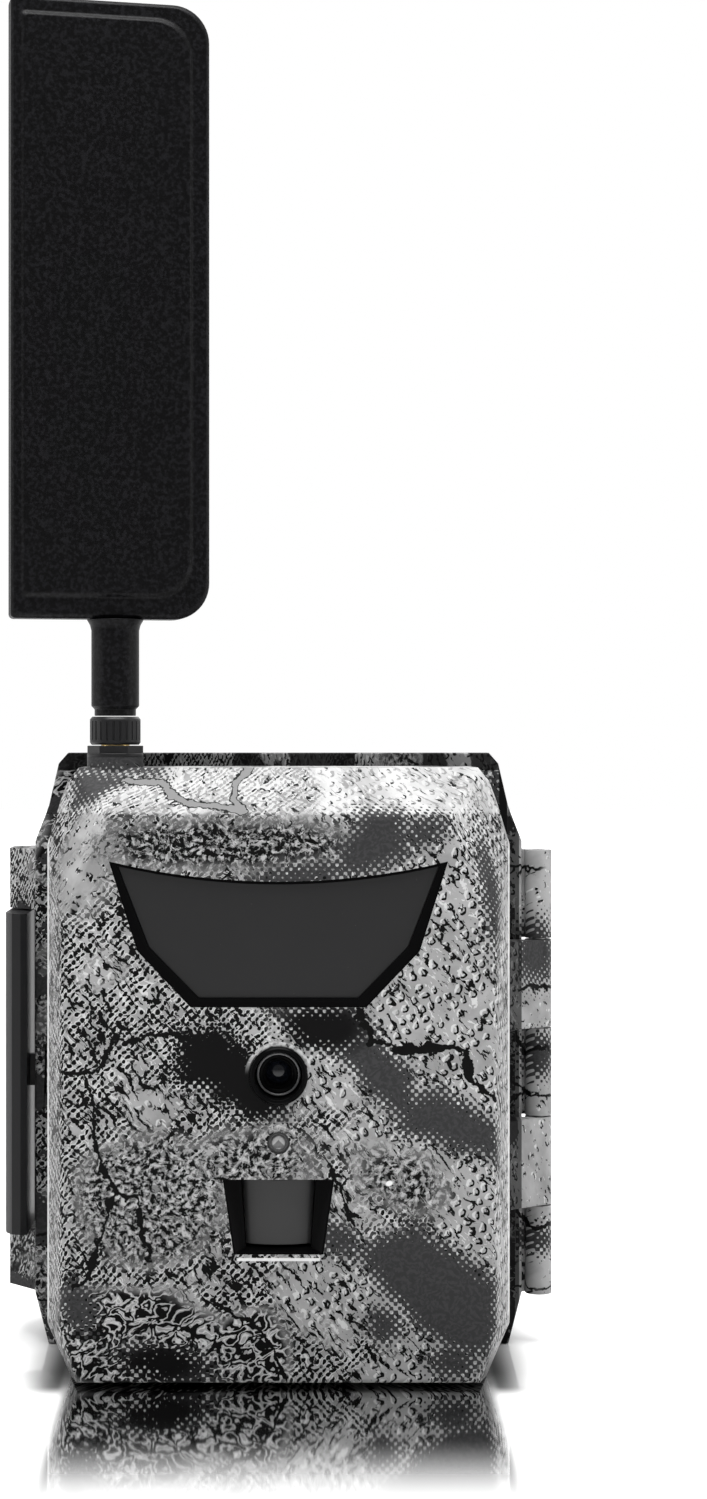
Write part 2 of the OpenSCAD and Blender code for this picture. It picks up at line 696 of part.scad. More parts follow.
// Half of the blade's casing; s is -1 for the front half and 1 for the back half
module blade_shell(s) antenna_place() rotate(antenna_yaw) translate([blade_shift, 0, stem_z1])
    mirror([0, s > 0 ? 1 : 0, 0]) difference() {
        union() {
            hull() {
                slab(-blade_t / 2 + 1.6, 0) blade_outline();
                slab(-blade_t / 2 + 0.8, -0.1) blade_outline(0.8, 0.8, 0.8, 0.8);
            }
            hull() {
                slab(-blade_t / 2 + 0.8, -1) blade_outline(2, 3.8, 3.4, 4.6);
                slab(-blade_t / 2, -1) blade_outline(2.8, 4.6, 4.2, 5.4);
            }
        }
        slab(-blade_t / 2 + 2.2, 1) blade_outline(2, 2, 2, 2);
    }
module antenna_front_shell() color("black") blade_shell(-1);
module antenna_back_shell() color("black") blade_shell(1);

module antenna_element() color("darkgreen") antenna_place() rotate(antenna_yaw)
    translate([blade_shift, 0, stem_z1]) block([-17, -0.4, 3], [15, 0.4, blade_h - 6]);

rear_housing();
housing_seal();
battery_tray();
aa_cells();
battery_springs();
battery_contacts();
power_pads();
tray_screws();
tree_bracket();
bracket_screws();
tripod_insert();
hinge_pin();
latch_pin();
latch_lever();
front_housing();
ir_bezel();
ir_window();
ir_led_board();
ir_leds();
lens_bezel();
lens_barrel();
lens_element();
sensor_board();
image_sensor();
status_lens();
pir_bezel();
pir_lens();
pir_sensor();
pir_board();
main_board();
cellular_module();
antenna_coax();
sd_socket();
sd_card();
sim_socket();
sim_card();
inner_panel();
panel_screws();
screen_module();
screen_window();
key_switches();
key_up();
key_down();
key_left();
key_right();
key_ok();
power_switch_body();
power_switch_knob();
dc_jack();
dc_jack_cap();
power_pins();
antenna_jack();
antenna_jack_nut();
antenna_coupling_nut();
antenna_stem();
antenna_front_shell();
antenna_back_shell();
antenna_element();
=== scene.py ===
import json
import math

import bmesh
import bpy
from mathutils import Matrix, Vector


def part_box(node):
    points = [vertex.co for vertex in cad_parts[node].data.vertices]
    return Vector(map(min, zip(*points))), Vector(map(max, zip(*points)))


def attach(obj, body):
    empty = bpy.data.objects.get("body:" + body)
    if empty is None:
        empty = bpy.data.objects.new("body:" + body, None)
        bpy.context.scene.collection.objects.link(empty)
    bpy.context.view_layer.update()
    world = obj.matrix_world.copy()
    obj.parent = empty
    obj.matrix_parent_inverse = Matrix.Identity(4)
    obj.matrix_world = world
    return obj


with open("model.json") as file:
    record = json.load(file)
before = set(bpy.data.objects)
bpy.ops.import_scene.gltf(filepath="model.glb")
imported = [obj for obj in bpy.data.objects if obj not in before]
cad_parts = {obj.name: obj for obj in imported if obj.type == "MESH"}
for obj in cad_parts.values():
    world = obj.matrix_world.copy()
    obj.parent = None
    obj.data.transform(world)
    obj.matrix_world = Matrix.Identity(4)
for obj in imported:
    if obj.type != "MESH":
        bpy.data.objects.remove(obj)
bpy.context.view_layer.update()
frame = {"nodes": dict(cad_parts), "record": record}
nodes = frame["nodes"]

MM = 0.001


# ---- camera, floor and lights ----

def low(node):
    return Vector(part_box(node)[0])


def high(node):
    return Vector(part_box(node)[1])


FRONT_Y = low("ir_bezel").y - 0.3 * MM    # the flat front face
EYE_Z = 137.8 * MM                        # eye level: just above the housings
CAMERA_D = 520 * MM                       # from the flat front face
VIEW_H = 316.9 * MM                       # height of the view at the front face
FRAME_H = 1499                            # the photograph's height in pixels
SHIFT_X, SHIFT_Y = 75, -13.5              # from the lens axis to the frame's middle, in those pixels
SENSOR = 36.0

# Area lights: place, size in metres and power in watts
LIGHTS = {
    "top_box": ((0.0, -0.25, 1.0), (0.8, 0.5), 17),
    "front_fill": ((-0.5, -1.2, 1.2), (0.7, 0.5), 1.5),
    "left_strip": ((-0.9, -0.12, 0.2), (0.2, 0.9), 2.2),
    "right_strip": ((0.9, -0.12, 0.2), (0.2, 0.9), 2.2),
    "back_box": ((0.2, 0.9, 0.8), (0.8, 0.6), 4),
}
LIT_POINT = (0, 0, 0.09)

# The world's strength in front of the object, and the directions along Y between which it grows to 1
WORLD_DIM = 0.35
WORLD_FADE = (-0.35, 0.2)


def make_camera():
    data = bpy.data.cameras.new("camera")
    camera = bpy.data.objects.new("camera", data)
    bpy.context.scene.collection.objects.link(camera)
    camera.location = (0, FRONT_Y - CAMERA_D, EYE_Z)
    camera.rotation_euler = (math.radians(90), 0, 0)
    data.sensor_width = SENSOR
    data.lens = SENSOR * CAMERA_D / VIEW_H
    data.shift_x = SHIFT_X / FRAME_H
    data.shift_y = SHIFT_Y / FRAME_H
    data.clip_start = 0.01
    bpy.context.scene.camera = camera


def area_light(name, place, size, power):
    data = bpy.data.lights.new(name, "AREA")
    data.shape = "RECTANGLE"
    data.size, data.size_y = size
    data.energy = power
    light = bpy.data.objects.new(name, data)
    bpy.context.scene.collection.objects.link(light)
    light.location = place
    light.rotation_euler = (Vector(LIT_POINT) - Vector(place)).to_track_quat("-Z", "Y").to_euler()


def make_world():
    """White behind the object and dimmer in front of it, so that black faces stay black."""
    world = bpy.data.worlds.new("studio")
    world.use_nodes = True
    tree = world.node_tree
    back = tree.nodes["Background"]
    coords = tree.nodes.new("ShaderNodeTexCoord")
    split = tree.nodes.new("ShaderNodeSeparateXYZ")
    fall = tree.nodes.new("ShaderNodeMapRange")
    fall.inputs["From Min"].default_value, fall.inputs["From Max"].default_value = WORLD_FADE
    fall.inputs["To Min"].default_value, fall.inputs["To Max"].default_value = WORLD_DIM, 1.0
    path = tree.nodes.new("ShaderNodeLightPath")
    strength = tree.nodes.new("ShaderNodeMath")
    strength.operation = "MAXIMUM"
    tree.links.new(coords.outputs["Generated"], split.inputs[0])
    tree.links.new(split.outputs["Y"], fall.inputs["Value"])
    tree.links.new(fall.outputs["Result"], strength.inputs[0])
    tree.links.new(path.outputs["Is Camera Ray"], strength.inputs[1])
    tree.links.new(strength.outputs[0], back.inputs["Strength"])
    back.inputs["Color"].default_value = (1, 1, 1, 1)
    bpy.context.scene.world = world


def make_lights():
    for name, (place, size, power) in LIGHTS.items():
        area_light(name, place, size, power)
    make_world()
    bpy.context.scene.view_settings.view_transform = "Standard"


# ---- material graphs ----

class Graph:
    """Builds one material's nodes. Lengths inside it are in millimetres, in the shared frame."""

    def __init__(self, name):
        self.material = bpy.data.materials.new(name)
        self.material.use_nodes = True
        self.tree = self.material.node_tree
        self.shader = self.tree.nodes["Principled BSDF"]
        coords = self.add("ShaderNodeTexCoord")
        scale = self.add("ShaderNodeVectorMath", operation="SCALE")
        scale.inputs["Scale"].default_value = 1 / MM
        self.tree.links.new(coords.outputs["Object"], scale.inputs[0])
        self.place = scale.outputs[0]

    def add(self, kind, **settings):
        node = self.tree.nodes.new(kind)
        for key, value in settings.items():
            setattr(node, key, value)
        return node

    def put(self, socket, value):
        if isinstance(value, bpy.types.NodeSocket):
            self.tree.links.new(value, socket)
        elif isinstance(value, (int, float)) and hasattr(socket.default_value, "__len__"):
            socket.default_value = [value] * 3 + [1.0] * (len(socket.default_value) - 3)
        elif hasattr(value, "__len__") and len(value) == 3 and len(socket.default_value) == 4:
            socket.default_value = (*value, 1.0)
        else:
            socket.default_value = value

    def math(self, operation, *values, clamp=False):
        node = self.add("ShaderNodeMath", operation=operation, use_clamp=clamp)
        for socket, value in zip(node.inputs, values):
            self.put(socket, value)
        return node.outputs[0]

    def vector(self, operation, *values):
        node = self.add("ShaderNodeVectorMath", operation=operation)
        for socket, value in zip(node.inputs, values):
            self.put(socket, value)
        return node.outputs["Value" if operation in ("LENGTH", "DOT_PRODUCT") else "Vector"]

    def scaled(self, place, factors, turn=0.0, shift=(0, 0, 0)):
        """place in axes turned by turn degrees about shift, then times factors."""
        node = self.add("ShaderNodeMapping", vector_type="TEXTURE")
        self.put(node.inputs["Vector"], place)
        node.inputs["Location"].default_value = shift
        node.inputs["Rotation"].default_value = (0, 0, math.radians(turn))
        node.inputs["Scale"].default_value = [1 / f for f in factors]
        return node.outputs[0]

    def split(self, place):
        node = self.add("ShaderNodeSeparateXYZ")
        self.put(node.inputs[0], place)
        return node.outputs

    def join(self, x, y, z=0.0):
        node = self.add("ShaderNodeCombineXYZ")
        for socket, value in zip(node.inputs, (x, y, z)):
            self.put(socket, value)
        return node.outputs[0]

    def noise(self, place, size, detail=2.0, rough=0.5, distortion=0.0, colour=False):
        """Noise with features about size millimetres across."""
        node = self.add("ShaderNodeTexNoise")
        self.put(node.inputs["Vector"], place)
        node.inputs["Scale"].default_value = 1 / size
        node.inputs["Detail"].default_value = detail
        node.inputs["Roughness"].default_value = rough
        node.inputs["Distortion"].default_value = distortion
        return node.outputs["Color" if colour else "Fac"]

    def step(self, value, low, high, to=(0.0, 1.0)):
        """A smooth step of value from low to high; low may be the larger."""
        node = self.add("ShaderNodeMapRange", interpolation_type="SMOOTHSTEP")
        if low > high:
            low, high, to = high, low, (to[1], to[0])
        self.put(node.inputs["Value"], value)
        node.inputs["From Min"].default_value = low
        node.inputs["From Max"].default_value = high
        node.inputs["To Min"].default_value, node.inputs["To Max"].default_value = to
        return node.outputs["Result"]

    def mix(self, factor, a, b):
        node = self.add("ShaderNodeMix", data_type="RGBA")
        self.put(node.inputs["Factor"], factor)
        self.put(node.inputs[6], a)
        self.put(node.inputs[7], b)
        return node.outputs[2]

    def top(self, *values):
        result = values[0]
        for value in values[1:]:
            result = self.math("MAXIMUM", result, value)
        return result

    def least(self, values):
        result = values[0]
        for value in values[1:]:
            result = self.math("MINIMUM", result, value)
        return result

    def times(self, *values):
        result = values[0]
        for value in values[1:]:
            result = self.math("MULTIPLY", result, value)
        return result

    def inverse(self, value):
        return self.math("SUBTRACT", 1.0, value)

    def shaken(self, base, reach, place, size, detail, rough):
        """base moved along X and Y by up to half of reach millimetres, by the noise at place."""
        noise = self.noise(place, size, detail, rough, colour=True)
        return self.vector("MULTIPLY_ADD", self.vector("SUBTRACT", noise, (0.5, 0.5, 0.5)),
                           (reach, reach, 0), base)

    def bump(self, height, strength, distance):
        """Bump of this strength; distance is in metres."""
        node = self.add("ShaderNodeBump")
        node.inputs["Strength"].default_value = strength
        node.inputs["Distance"].default_value = distance
        self.put(node.inputs["Height"], height)
        self.put(self.shader.inputs["Normal"], node.outputs[0])

    def finish(self, **sockets):
        names = {"colour": "Base Color", "roughness": "Roughness", "metal": "Metallic",
                 "coat": "Coat Weight", "coat_roughness": "Coat Roughness", "ior": "IOR",
                 "specular": "Specular IOR Level",
                 "emission": "Emission Color", "emission_strength": "Emission Strength"}
        for key, value in sockets.items():
            self.put(self.shader.inputs[names[key]], value)
        return self.material


def shade_of(colour, times, plus=0.0):
    """A colour made lighter or darker."""
    return tuple(min(1, c * times + plus) for c in colour)


# ---- camouflage film ----

def ellipse(g, place, centre, half, turn=0.0):
    """Rough distance in millimetres from an ellipse's edge; negative inside it."""
    node = g.add("ShaderNodeMapping", vector_type="TEXTURE")
    g.put(node.inputs["Vector"], place)
    node.inputs["Location"].default_value = (centre[0], centre[1], 0)
    node.inputs["Rotation"].default_value = (0, 0, math.radians(turn))
    node.inputs["Scale"].default_value = (half[0], half[1], 1)
    reach = min(half)
    return g.math("MULTIPLY_ADD", g.vector("LENGTH", node.outputs[0]), reach, -reach)


def polygon(g, place, corners):
    """Distance in millimetres from a convex polygon's edge; negative inside it. Corners go clockwise."""
    found = []
    for (x0, z0), (x1, z1) in zip(corners, corners[1:] + corners[:1]):
        length = math.hypot(x1 - x0, z1 - z0)
        out = (-(z1 - z0) / length, (x1 - x0) / length, 0)
        offset = x0 * out[0] + z0 * out[1]
        found.append(g.math("SUBTRACT", g.vector("DOT_PRODUCT", place, out), offset))
    return g.top(*found)


def polyline(g, place, points):
    """Distance in millimetres from a chain of straight lines."""
    found = []
    for (x0, z0), (x1, z1) in zip(points, points[1:]):
        node = g.add("ShaderNodeMapping", vector_type="TEXTURE")
        g.put(node.inputs["Vector"], place)
        node.inputs["Location"].default_value = (x0, z0, 0)
        node.inputs["Rotation"].default_value = (0, 0, math.atan2(z1 - z0, x1 - x0))
        near = g.vector("MINIMUM", g.vector("MAXIMUM", node.outputs[0], (0, 0, 0)),
                        (math.hypot(x1 - x0, z1 - z0), 0, 0))
        found.append(g.vector("LENGTH", g.vector("SUBTRACT", node.outputs[0], near)))
    return g.least(found)


def cells(g, place, pitch, turn=0.0, shift=(0, 0, 0)):
    """(place within a square cell, from -0.5 to 0.5, and the cell's own random number)."""
    lattice = g.scaled(place, (1 / pitch, 1 / pitch, 1 / pitch), turn, shift)
    corner = g.vector("FLOOR", lattice)
    inside = g.vector("SUBTRACT", g.vector("SUBTRACT", lattice, corner), (0.5, 0.5, 0))
    pick = g.add("ShaderNodeTexWhiteNoise", noise_dimensions="2D")
    g.put(pick.inputs["Vector"], corner)
    return inside, pick.outputs["Value"]


def halftone(g, place, distance, pitch, reach):
    """1 inside a shape and 0 outside, with a band of dots reach millimetres wide at its edge."""
    lattice = g.split(g.scaled(place, (math.tau / pitch,) * 3, 45))
    wave = g.math("ADD", g.math("COSINE", lattice[0]), g.math("COSINE", lattice[1]))
    level = g.math("MULTIPLY_ADD", distance, -4 / reach, wave)
    return g.step(level, -0.35, 0.35)


LIGHT = (0.295, 0.295, 0.295)
DARK = (0.032, 0.032, 0.033)
BLACK = (0.002, 0.002, 0.002)
WHITE = (0.66, 0.66, 0.66)
STEM_GREY = (0.17, 0.17, 0.17)

# A distance in millimetres that puts a shape out of reach
FAR = 60

# The dots at a dark shape's edge: their pitch, the width of their band and how far out it's moved
DOT_PITCH, DOT_BAND, DOT_OUT = 1.25, 5.5, 1.2

# Dark shapes on the front, as convex outlines and as ellipses (centre, half size, turn)
FRONT_OUTLINES = [
    [(-19.7, 74), (-12.1, 74.9), (-3.2, 66.4), (0.4, 58.4), (-6.8, 58.4), (-20.2, 66.4)],
    [(0.4, 78.9), (7.5, 79.8), (14.7, 78.9), (19.1, 75.4), (12.9, 70.9), (5.7, 72.7)],
    [(12.9, 71.3), (19.1, 74), (28, 65.5), (27.2, 56.6), (21.8, 61.1)],
    [(26.3, 61.1), (33.4, 62), (46.5, 54.8), (46.5, 49), (36.1, 51.6), (26.3, 55.3)],
    [(17.3, 28.9), (28.9, 33.4), (46.5, 20.9), (45, 8.3), (37, 8.4), (25.4, 18.2), (21.8, 22.7)],
    [(14.7, 122), (26.3, 122), (26.3, 112.8), (20.9, 110.2), (11.1, 109.3), (13.8, 113.7)],
    [(-51.0, 134.0), (-39.8, 133.3), (-35.4, 128.5), (-42.5, 127.8), (-46.5, 123.0), (-49.3, 125.1)],
]
FRONT_BLOBS = [
    ((22.5, 12.8), (2.6, 2.4), 0), ((37, 5.5), (3.6, 2.6), 0), ((13, 31.5), (3.2, 2.2), -30),
    ((5, 108), (8, 1.6), 12), ((46.5, 106), (2, 8), 0), ((-23.5, 5), (7.5, 2.8), -12),
    ((-42.5, 17), (2.6, 4), 20), ((31, 118), (3, 1.6), 20),
]
# The mid-grey stem across the top bevel
VINE = [
    (-39.2, 132.4), (-37.1, 131.9), (-30.3, 131.3), (-23.3, 126.5), (-19.0, 125.1), (-10.8, 123.0),
    (-8.5, 123.0), (-10.6, 126.5), (-10.9, 131.1), (-8.6, 136.5),
]
CRACKS = [
    [(-48.7, 67.8), (-44.1, 66.1), (-38.8, 66.6), (-36, 70.4), (-34.6, 73.5), (-31.4, 72.9),
     (-27.2, 74), (-19.8, 74.4)],
    [(-40.3, 63), (-38.8, 50.3), (-34.6, 41.8), (-30.3, 39.7), (-29.3, 35.5), (-27.2, 27)],
    [(-34.6, 41.8), (-37.7, 32.3), (-39.4, 26), (-43, 20.7)],
    [(10.3, 47.5), (14.1, 39.5), (16.2, 34.6)],
    [(-15.5, 18.6), (-6, 14.3), (-1.8, 9), (1.4, 1.7)],
]
THICK_CRACKS = [
    [(17.7, 78.8), (19.5, 73), (26.3, 71.8), (34.8, 71.4), (39.6, 70.8), (40.5, 65.9), (46, 61.5)],
]

# Round the sides the flat pattern runs on by these shares of the depth: outwards, in full past SPREAD
# millimetres from the middle, and upwards
SPREAD = 42
OUT_SHARE = 0.9
UP_SHARE = 0.55


def film_places(g):
    """The flat pattern's place on every face, bent a little, and the three plain coordinates."""
    x, y, z = g.split(g.place)
    back = g.math("SUBTRACT", y, FRONT_Y / MM)
    spread = g.math("MULTIPLY_ADD", g.step(x, -SPREAD, SPREAD), 2 * OUT_SHARE, -OUT_SHARE)
    flat = g.join(g.math("MULTIPLY_ADD", back, spread, x), g.math("MULTIPLY_ADD", back, UP_SHARE, z))
    return flat, g.shaken(flat, 5, flat, 7, 4, 0.6), (x, y, z)


def film_marks(g, flat, bent, bark, smooth, sparse):
    """(black marks, white marks) of the film's small texture, from 0 to 1.

    bark, smooth and sparse say where it's swirling lines, fine grain, and thinned out.
    """
    areas = g.math("MULTIPLY_ADD", g.split(flat)[0], 0.004, g.noise(flat, 24, 2, 0.5))
    left = g.step(areas, 0.52, 0.46)
    right = g.step(areas, 0.49, 0.55)
    # short diagonal strokes, thick and thin
    patch = g.noise(flat, 9, 2, 0.5)
    stroke = g.noise(g.scaled(bent, (0.5, 1.7, 1), -50), 1.7, 3, 0.6)
    stroke = g.math("MULTIPLY_ADD", patch, 0.22, stroke)
    stroke = g.math("MULTIPLY_ADD", right, -0.035, stroke)
    strokes = g.step(stroke, 0.652, 0.667)
    stroke_white = g.step(g.math("MULTIPLY_ADD", right, 0.05, stroke), 0.50, 0.48)
    # rows of dashes
    near = g.shaken(flat, 2.2, flat, 3, 2, 0.5)
    inside, pick = cells(g, near, 1.25, 45)
    dash = g.vector("LENGTH", g.vector("MULTIPLY", inside, (1.0, 1.55, 0)))
    there = g.step(g.math("MULTIPLY_ADD", patch, -0.33, pick), -0.02, 0.02)
    dashes = g.times(g.step(dash, 0.50, 0.42), there)
    dash_white = g.times(g.step(dash, 0.72, 0.66), g.step(dash, 0.50, 0.56), g.step(pick, 0.45, 0.5))
    # scales: small open arcs
    inside, pick = cells(g, near, 2.3, 30, (0.3, 0.1, 0))
    around = g.vector("LENGTH", inside)
    side = g.vector("DOT_PRODUCT", inside, (0.6, -0.8, 0))
    ring = g.times(g.step(around, 0.15, 0.19), g.step(around, 0.40, 0.36), g.step(pick, 0.3, 0.34))
    scales = g.times(ring, g.step(side, -0.04, 0.01))
    scale_white = g.times(ring, g.step(side, -0.08, -0.13))
    # grain
    grain = g.noise(bent, 1.15, 3, 0.6)
    grains = g.times(g.step(grain, 0.505, 0.53), smooth)
    grain_white = g.times(g.step(grain, 0.45, 0.41), smooth, 0.8)
    # bark: swirling contour lines
    swirl = g.noise(g.scaled(near, (0.75, 1.1, 1), 20), 3.4, 2, 0.5, 0.5)
    lines = g.math("PINGPONG", g.math("MULTIPLY", swirl, 13), 1.0)
    bark_black = g.times(g.step(lines, 0.42, 0.48), bark)
    bark_white = g.times(g.step(lines, 0.16, 0.06), bark)
    # which of them show where
    kept = g.inverse(g.times(g.step(g.noise(near, 2.1, 2, 0.5), 0.60, 0.54), sparse))
    plain = g.times(g.inverse(bark), kept)
    rest = g.times(plain, g.inverse(smooth))
    black = g.top(strokes, g.times(dashes, left), g.times(scales, right))
    black = g.top(g.times(rest, black), g.times(plain, grains), bark_black)
    white = g.top(stroke_white, g.times(dash_white, left), g.times(scale_white, right))
    white = g.top(g.times(rest, white), g.times(plain, grain_white), bark_white)
    return black, white


def film(g, light, dark, distance, black_lines, marks, smooth, flat, bent):
    """The film's colour, from light ground, small marks, dark shapes with dotted edges, and black lines:
    cracks and the painted shadow beside the hinge.

    light is the ground's colour and dark says where the dark shapes are nearly black.
    """
    black, white = marks
    tone = g.noise(bent, 9, 3, 0.6)
    wear_and_highlight = g.math("MULTIPLY_ADD", g.step(tone, 0.35, 0.65), -0.28, 1.0)
    ground = g.vector("MULTIPLY", light, g.join(wear_and_highlight, wear_and_highlight, wear_and_highlight))
    ground = g.mix(smooth, ground, shade_of(LIGHT, 0.5))
    speckle = g.noise(bent, 0.8, 2, 0.5)
    shape = g.mix(g.step(speckle, 0.42, 0.62), shade_of(DARK, 0.85), shade_of(DARK, 1.2))
    shape = g.mix(dark, shape, shade_of(DARK, 0.08))
    colour = g.mix(g.times(white, 0.5), ground, WHITE)
    colour = g.mix(black, colour, BLACK)
    inside = halftone(g, flat, g.math("SUBTRACT", distance, DOT_OUT), DOT_PITCH, DOT_BAND)
    colour = g.mix(inside, colour, shape)
    return g.mix(black_lines, colour, BLACK)


def film_finish(g, colour, rough):
    weave = g.noise(g.place, 0.55, 3, 0.6)
    g.bump(weave, 0.12, 0.0001)
    return g.finish(colour=colour, roughness=g.step(weave, 0.2, 0.8, (rough - 0.06, rough + 0.08)),
                    specular=0.06)


# The hinge flange's cracks, and its dark patches as ellipses
FLANGE_CRACKS = [
    [(53, 80.5), (57, 81.6), (59, 80.8), (63, 81.4)], [(53, 71), (56, 66), (59, 68), (63, 65)],
    [(54, 30), (58, 26.5), (63, 27.4)],
]
FLANGE_PATCHES = [((58, 89), (4, 5.5)), ((59, 66), (3, 3.5)), ((57, 24), (5, 1.5))]


def flange(g, x, z, flat):
    """(is the hinge flange, distance from its dark patches, its cracks)."""
    here = g.step(x, 53.6, 53.8)
    place = g.shaken(g.join(x, z), 4, flat, 3, 3, 0.6)
    patch = g.least([ellipse(g, place, *one) for one in FLANGE_PATCHES])
    line = g.least([polyline(g, place, black_lines) for black_lines in FLANGE_CRACKS])
    return here, patch, g.times(here, g.step(line, 0.55, 0.4))


def away_from(g, here, distance):
    """A shape's distance, with the shape out of reach where here is 1."""
    return g.math("MULTIPLY_ADD", here, FAR, distance)


def only_at(g, here, distance):
    """A shape's distance, with the shape out of reach where here is 0."""
    return g.math("MULTIPLY_ADD", here, -FAR, g.math("ADD", distance, FAR))


def shadow_gap(g, x, y):
    """(painted black shadow in the gap beside the hinge, painted shade darkening the strip next to it)."""
    near = g.step(y, -16, -15)
    return (g.times(g.step(x, 49.95, 50.1), g.step(x, 52.1, 51.8), near),
            g.times(g.step(x, 51.8, 52.1), g.step(x, 54.7, 54.5), near))


# The crest over the status lens, which gets a painted highlight; the lens axis and the radius of the painted
# highlight ring round its opening; the pale spot's middle; and the painted highlight line on the sensor
# window's lower lip: its height and half length
HOOD = [(-9.7, 45.6), (-6.7, 50.1), (-3, 53.4), (0, 55.1), (2.6, 54.2), (4.5, 51.6), (8.6, 48.2)]
LENS_AXIS, LENS_RING = (0, 66, 0), 6.75
PALE_SPOT = (23.4, 43.2)
LIP_Z, LIP_X = 27.1, 9.0


def highlights_and_pale_spot(g, flat, x, z):
    """Painted highlights on the crest over the status lens, the lens opening's upper rim and the sensor
    window's lower lip; and the film's own pale spot.
    """
    patchy = g.step(g.noise(flat, 1.6, 2, 0.5), 0.36, 0.5)
    crest = g.step(polyline(g, flat, HOOD), 0.42, 0.2)
    lens = g.math("SUBTRACT", g.vector("LENGTH", g.vector("SUBTRACT", flat, LENS_AXIS)), LENS_RING)
    rim = g.times(g.step(g.math("ABSOLUTE", lens), 0.5, 0.25), g.step(z, 66, 71))
    lip = g.times(g.step(g.math("ABSOLUTE", g.math("SUBTRACT", z, LIP_Z)), 0.4, 0.25),
                  g.step(g.math("ABSOLUTE", x), LIP_X, LIP_X - 0.4))
    spot = g.step(ellipse(g, flat, PALE_SPOT, (0.85, 0.6), 20), 0.1, -0.2)
    return g.top(g.times(crest, patchy, 0.35), g.times(rim, patchy, 0.6), g.times(lip, 0.95), spot)


# Areas of the front as ellipses: bark-like lines, fine grain, black grain on the ledge over the
# infrared window, the sparse upper left corner, and where dark shapes are nearly black
BARK_AREAS = [((-30, 9.5), (21, 11), -10), ((-6, 7), (8, 9))]
SMOOTH_AREAS = [((-27.3, 40), (15, 13)), ((-12, 115), (26, 5)), ((-6, 47), (12, 7)), ((26, 44), (9, 5), -30)]
LEDGE_AREA = ((-12, 115), (27, 4.5))
QUIET_AREA = ((-43, 113), (8, 12))
DEEP_AREAS = [((-9, 68), (15, 13)), ((9, 76), (9, 5)), ((-25, 5), (9, 4))]


def areas(g, place, ellipses, outer, inner):
    """From 0 to 1: how far into any of some ellipses, between two distances from their edges."""
    return g.step(g.least([ellipse(g, place, *one) for one in ellipses]), outer, inner)


def camo_front():
    g = Graph("camo_front")
    flat, bent, (x, y, z) = film_places(g)
    shapes = [polygon(g, bent, outline) for outline in FRONT_OUTLINES]
    shapes += [ellipse(g, bent, *blob) for blob in FRONT_BLOBS]
    drift = g.math("MULTIPLY_ADD", g.noise(g.place, 19, 2, 0.5), -95, 52)
    ahead = g.step(y, -26, -29)
    elsewhere = away_from(g, ahead, drift)
    boss = g.math("MAXIMUM", g.math("SUBTRACT", 130.6, z), g.math("ADD", x, 26))
    here, patch, split = flange(g, x, z, flat)
    distance = g.least([away_from(g, here, g.least([*shapes, elsewhere, boss])), only_at(g, here, patch)])
    rough = g.shaken(bent, 2.4, flat, 2.2, 3, 0.6)
    thin = g.least([polyline(g, rough, line) for line in CRACKS])
    thick = g.least([polyline(g, rough, line) for line in THICK_CRACKS])
    width = g.step(g.noise(flat, 3.5, 2, 0.6), 0.35, 0.65)
    # painted shadow: the gap beside the hinge goes black, and painted shade darkens the strip next to it
    gap_shadow, gap_shade = shadow_gap(g, x, y)
    black_lines = g.top(g.step(g.math("MULTIPLY_ADD", width, -0.35, thin), 0.32, 0.2),
                  g.step(g.math("MULTIPLY_ADD", width, -0.9, thick), 0.45, 0.3), gap_shadow, split)
    bark = areas(g, bent, BARK_AREAS, 2.0, -1.0)
    smooth = g.times(areas(g, bent, SMOOTH_AREAS, 3.5, -2.5), g.step(g.noise(flat, 3, 2), 0.36, 0.46))
    # the top bevel: a painted highlight lightens its ground, and its marks are thinned
    pale = g.step(z, 120.9, 121.8)
    quiet = areas(g, bent, [QUIET_AREA], 3, -3)
    black, white = film_marks(g, flat, bent, bark, smooth, g.top(g.times(pale, 0.55), here, quiet))
    ledge = areas(g, bent, [LEDGE_AREA], 2, -1)
    marks = g.top(black, g.times(ledge, g.step(g.noise(bent, 1.3, 2, 0.6), 0.51, 0.55))), white
    deep = areas(g, flat, DEEP_AREAS, 3, -2)
    # painted highlight: the ground is 1.45 times lighter on the top bevel, which faces the light above
    light = g.mix(pale, LIGHT, shade_of(LIGHT, 1.45))
    colour = film(g, light, deep, distance, black_lines, marks, smooth, flat, bent)
    stem = g.math("SUBTRACT", polyline(g, rough, VINE), 1.0)
    colour = g.mix(g.step(stem, 0.35, 0.2), colour, BLACK)
    colour = g.mix(g.step(stem, 0.0, -0.15), colour, STEM_GREY)
    # painted highlights on the front face, and the film's pale spot, in white
    colour = g.mix(g.times(highlights_and_pale_spot(g, flat, x, z), g.step(y, -35.5, -36)), colour, WHITE)
    # painted shade on the strip beside the hinge gap
    colour = g.mix(g.times(gap_shade, 0.8), colour, BLACK)
    # a painted highlight down the rounded corners of the front's sides
    wear_and_highlight = g.times(g.step(g.math("ABSOLUTE", x), 49.2, 49.45), g.step(y, -26.5, -27.5),
                   g.step(z, 11, 14), 0.6)
    colour = g.mix(wear_and_highlight, colour, WHITE)
    return film_finish(g, colour, 0.42)


# Dark blocks along the rim over the front housing: centre and half width
RIM_BLOCKS = [(-6.9, 2.7), (9.9, 7.0), (35.4, 2.3), (-46, 4), (47, 3)]
# Distance between the rear film's veins, in millimetres
VEIN_SIZE = 24


